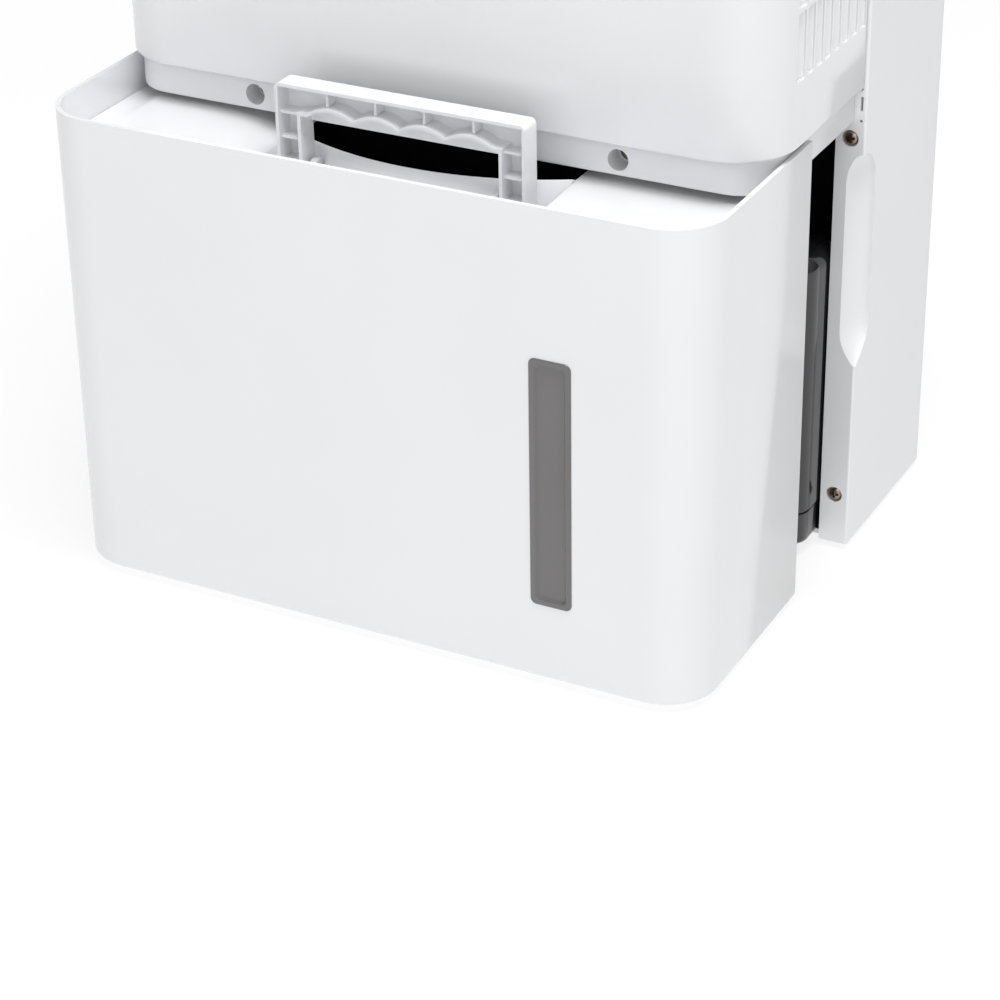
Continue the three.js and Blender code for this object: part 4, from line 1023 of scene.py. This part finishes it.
def finned_coil(node, rows):
    """Thin fins between two end plates, with a tube that runs to and fro and turns outside them."""
    low, high = span(node)
    half, middle = high.x, (low.y + high.y) / 2
    fin_pitch, plate = 3.1, 1.2
    count = int((2 * half - 2 * plate) / fin_pitch)
    pieces = []
    for side in (-1, 1):
        plate_x = sorted((side * half, side * (half - plate)))
        pieces.append(block(plate_x, (low.y, high.y), (low.z, high.z)))
    for i in range(count + 1):
        x = -count * fin_pitch / 2 + i * fin_pitch
        pieces.append(block((x - 0.12, x + 0.12), (low.y + 0.6, high.y - 0.6), (low.z + 0.6, high.z - 0.6)))
    bend, margin, radius = 6, 20, 3.6
    for i in range(rows):
        z = low.z + margin + i * (high.z - low.z - 2 * margin) / (rows - 1)
        for side in (-1, 1):
            pieces.append(round_bar("x", (middle + side * bend, z), -half - 1, half + 1, radius, sides=20))
        turn = arc(-half - 0.5, middle, bend, 90, 270, 10)
        pieces.append(swept([(max(x, low.x + radius), y, z) for x, y in turn], radius, 12))
    return shade(together(*pieces), 30)


def fan_wheel():
    """A drum of forward-curved blades between a dished back plate with a hub and a front ring."""
    low, high = span("fan_wheel")
    centre = ((low.x + high.x) / 2, (low.z + high.z) / 2)
    radius = (high.x - low.x) / 2
    plate_levels = [(1, low.y), (0, low.y + 0.6), (0, low.y + 1.4), (1, low.y + 2)]
    plate = loft(lambda d: circle(*centre, radius - d, 64), plate_levels, "y")
    hub = loft(lambda d: circle(*centre, 14 - d, 48), [(0, low.y + 1), (4, low.y + 6), (5, low.y + 22)], "y")
    body = cut(join(plate, hub), prism(circle(*centre, 3.3, 32), low.y - 2, high.y, "y"))
    ring_outer = prism(circle(*centre, radius, 64), high.y - 3, high.y, "y")
    ring = cut(ring_outer, prism(circle(*centre, radius - 3, 64), high.y - 5, high.y + 2, "y"))
    blades, count = [], 36
    for i in range(count):
        turn = 2 * math.pi * i / count
        along = (0, 0.25, 0.5, 0.75, 1)
        lean = [(radius - 11 + 10.4 * t, 0.055 * math.sin(math.pi * t) + 0.1 * t) for t in along]
        outer = [(r, turn + a) for r, a in lean]
        inner = [(r, turn + a + 0.9 / r) for r, a in reversed(lean)]
        outline = [(centre[0] + r * math.cos(a), centre[1] + r * math.sin(a)) for r, a in outer + inner]
        blades.append(prism(outline, low.y + 1.5, high.y - 1, "y"))
    return shade(together(soften(body, 0.3, 2, 40), soften(ring, 0.3, 2, 40), *blades), 35)


def fan_motor():
    """A round motor can with a rolled rim and cooling slots, on a strap."""
    low, high = span("fan_motor")
    centre = ((low.x + high.x) / 2, (low.z + high.z) / 2)
    scroll_face = span("fan_scroll")[0].y
    can_end = scroll_face - 3
    can = round_bar("y", centre, low.y, can_end, 36, low_round=5, high_round=1.5, sides=64)
    rim = round_bar("y", centre, can_end - 12, can_end - 9, 37.2, 1, 1, 64)
    can = join(can, rim)
    vents = []
    for i in range(8):
        turn = math.radians(45 * i + 22.5)
        x, z = centre[0] + 22 * math.cos(turn), centre[1] + 22 * math.sin(turn)
        vents.append(prism(circle(x, z, 3.2, 20), low.y - 1, low.y + 2, "y"))
    can = cut(can, together(*vents))
    strap_outline = rounded(low.x, high.x, centre[1] - 8, centre[1] + 8, 6, 8)
    strap = prism(strap_outline, can_end - 0.5, scroll_face - 0.3, "y")
    shaft = round_bar("y", centre, can_end - 3, high.y, 3, high_round=0.8, sides=32)
    return soften(join(can, strap, shaft), 0.3, 2, 40)


def compressor_body():
    """A welded can: a domed top and bottom, a raised seam, a terminal cover and a foot plate."""
    low, high = span("compressor")
    x, y = (low.x + high.x) / 2, (low.y + high.y) / 2
    base = low.z + 3
    radius = 47
    bowl = [(8, 0), (2, 6), (0, 14)]
    seam_bead = [(0, 128), (-1.4, 130), (-1.4, 134), (0, 136)]
    dome = [(0, 30), (1.5, 22), (6, 14), (15, 8.5), (30, 6)]
    profile = [(inset, base + z) for inset, z in bowl + seam_bead]
    profile += [(inset, high.z - z) for inset, z in dome]
    can = loft(lambda d: circle(x, y, radius - d, 72), profile)
    plate = prism(rounded(low.x, high.x, low.y, high.y, 14, 8), low.z, low.z + 3.5)
    cover = round_bar("z", (x + 18, y - 10), high.z - 12, high.z - 3, 13, high_round=2.5)
    stub = round_bar("z", (x, y), high.z - 9, high.z, 5, sides=24)
    return soften(join(can, plate, cover, stub), 0.5, 2, 40)


def receiver(node):
    """A drawn can with round ends and a short neck."""
    low, high = span(node)
    centre = ((low.x + high.x) / 2, (low.y + high.y) / 2)
    radius = (high.x - low.x) / 2
    body = round_bar("z", centre, low.z, high.z - 8, radius, low_round=11, high_round=11, sides=48)
    band = round_bar("z", centre, low.z + 30, low.z + 34, radius + 0.4, 0.4, 0.4, 48)
    return shade(join(body, band, round_bar("z", centre, high.z - 12, high.z, 4, sides=24)), 30)


def capacitor():
    low, high = span("run_capacitor")
    centre = ((low.x + high.x) / 2, (low.y + high.y) / 2)
    radius = (high.x - low.x) / 2
    body = round_bar("z", centre, low.z, high.z - 6, radius, 1.5, 2, 48)
    tabs = []
    for offset in (-7, 7):
        tab_x = (centre[0] + offset - 3, centre[0] + offset + 3)
        tabs.append(block(tab_x, (centre[1] - 0.4, centre[1] + 0.4), (high.z - 7, high.z)))
    return together(shade(body, 30), *tabs)


stand_for(intake_grille(), "intake_grille", "grille_moulding")
stand_for(air_filter(), "air_filter", "filter_weave")
stand_for(finned_coil("evaporator", 4), "evaporator", "evaporator_fins")
stand_for(finned_coil("condenser", 5), "condenser", "condenser_fins")
stand_for(fan_wheel(), "fan_wheel", "fan_drum")
stand_for(fan_motor(), "fan_motor", "fan_motor_can")
stand_for(compressor_body(), "compressor", "compressor_can")
stand_for(receiver("accumulator"), "accumulator", "accumulator_can")
stand_for(capacitor(), "run_capacitor", "capacitor_can")

for node, obj in frame["nodes"].items():
    if not obj.hide_render:
        obj.data.materials.clear()
        obj.data.materials.append(MATERIALS[SLOT_OF[node]])

# ---------- studio ----------
scene = bpy.context.scene
scene.view_settings.view_transform = "Standard"


def light_all_round(low, high, overhead, towards):
    """A world that glows on every side: brightest overhead and from one side, dimmest opposite it."""
    world = bpy.data.worlds.new("studio")
    world.use_nodes = True
    nodes, links = world.node_tree.nodes, world.node_tree.links
    background = nodes["Background"]
    background.inputs["Color"].default_value = (1, 1, 1, 1)
    direction = nodes.new("ShaderNodeTexCoord").outputs["Generated"]
    aim = nodes.new("ShaderNodeVectorMath")
    aim.operation = "DOT_PRODUCT"
    aim.inputs[1].default_value = Vector(towards).normalized()
    links.new(direction, aim.inputs[0])
    spread = nodes.new("ShaderNodeMapRange")
    spread.inputs["From Min"].default_value = -0.3
    spread.inputs["To Min"].default_value = low
    spread.inputs["To Max"].default_value = high
    links.new(aim.outputs["Value"], spread.inputs["Value"])
    parts = nodes.new("ShaderNodeSeparateXYZ")
    links.new(direction, parts.inputs["Vector"])
    above = nodes.new("ShaderNodeMapRange")
    above.inputs["To Max"].default_value = overhead
    links.new(parts.outputs["Z"], above.inputs["Value"])
    total = nodes.new("ShaderNodeMath")
    links.new(spread.outputs["Result"], total.inputs[0])
    links.new(above.outputs["Result"], total.inputs[1])
    links.new(total.outputs["Value"], background.inputs["Strength"])
    return world


scene.world = light_all_round(0.03, 0.5, 0.42, (0.3, -0.95, 0.1))

bm = bmesh.new()
bmesh.ops.create_grid(bm, x_segments=1, y_segments=1, size=8)
floor = new_object(bm)
floor.name = "floor"
paint = Shader("floor_paint", (0.2, 0.2, 0.2), 0.9)
paint.bump(paint.noise(3), 0.0001)
paint.main.inputs["Emission Color"].default_value = (1, 1, 1, 1)
paint.main.inputs["Emission Strength"].default_value = 0.8
floor.data.materials.append(paint.material)


def softbox(name, place, target, size, power):
    data = bpy.data.lights.new(name, "AREA")
    data.shape = "RECTANGLE"
    data.size, data.size_y = size
    data.energy = power
    lamp = bpy.data.objects.new(name, data)
    scene.collection.objects.link(lamp)
    lamp.location = place
    lamp.rotation_euler = (Vector(target) - Vector(place)).to_track_quat("-Z", "Y").to_euler()
    return lamp


softbox("top", (0.5, -0.35, 2.4), (0, 0, 0.2), (1.2, 1.2), 40)
softbox("front_right", (1.1, -2.5, 0.9), (0, 0, 0.25), (1.2, 1.0), 9)

EYE = Vector((0.69396, -1.33565, 0.83745))
YAW, PITCH, ROLL = (math.radians(a) for a in (27.64, -28.95, -0.92))
ahead = Vector((-math.sin(YAW) * math.cos(PITCH), math.cos(YAW) * math.cos(PITCH), math.sin(PITCH)))
level = Vector((math.cos(YAW), math.sin(YAW), 0))
over = level.cross(ahead)
right = math.cos(ROLL) * level + math.sin(ROLL) * over
up = -math.sin(ROLL) * level + math.cos(ROLL) * over
lens = bpy.data.cameras.new("camera")
lens.lens = 107.47
lens.sensor_width = 36
lens.clip_start = 0.05
camera = bpy.data.objects.new("camera", lens)
scene.collection.objects.link(camera)
camera.matrix_world = Matrix.Translation(EYE) @ Matrix((right, up, -ahead)).transposed().to_4x4()
scene.camera = camera
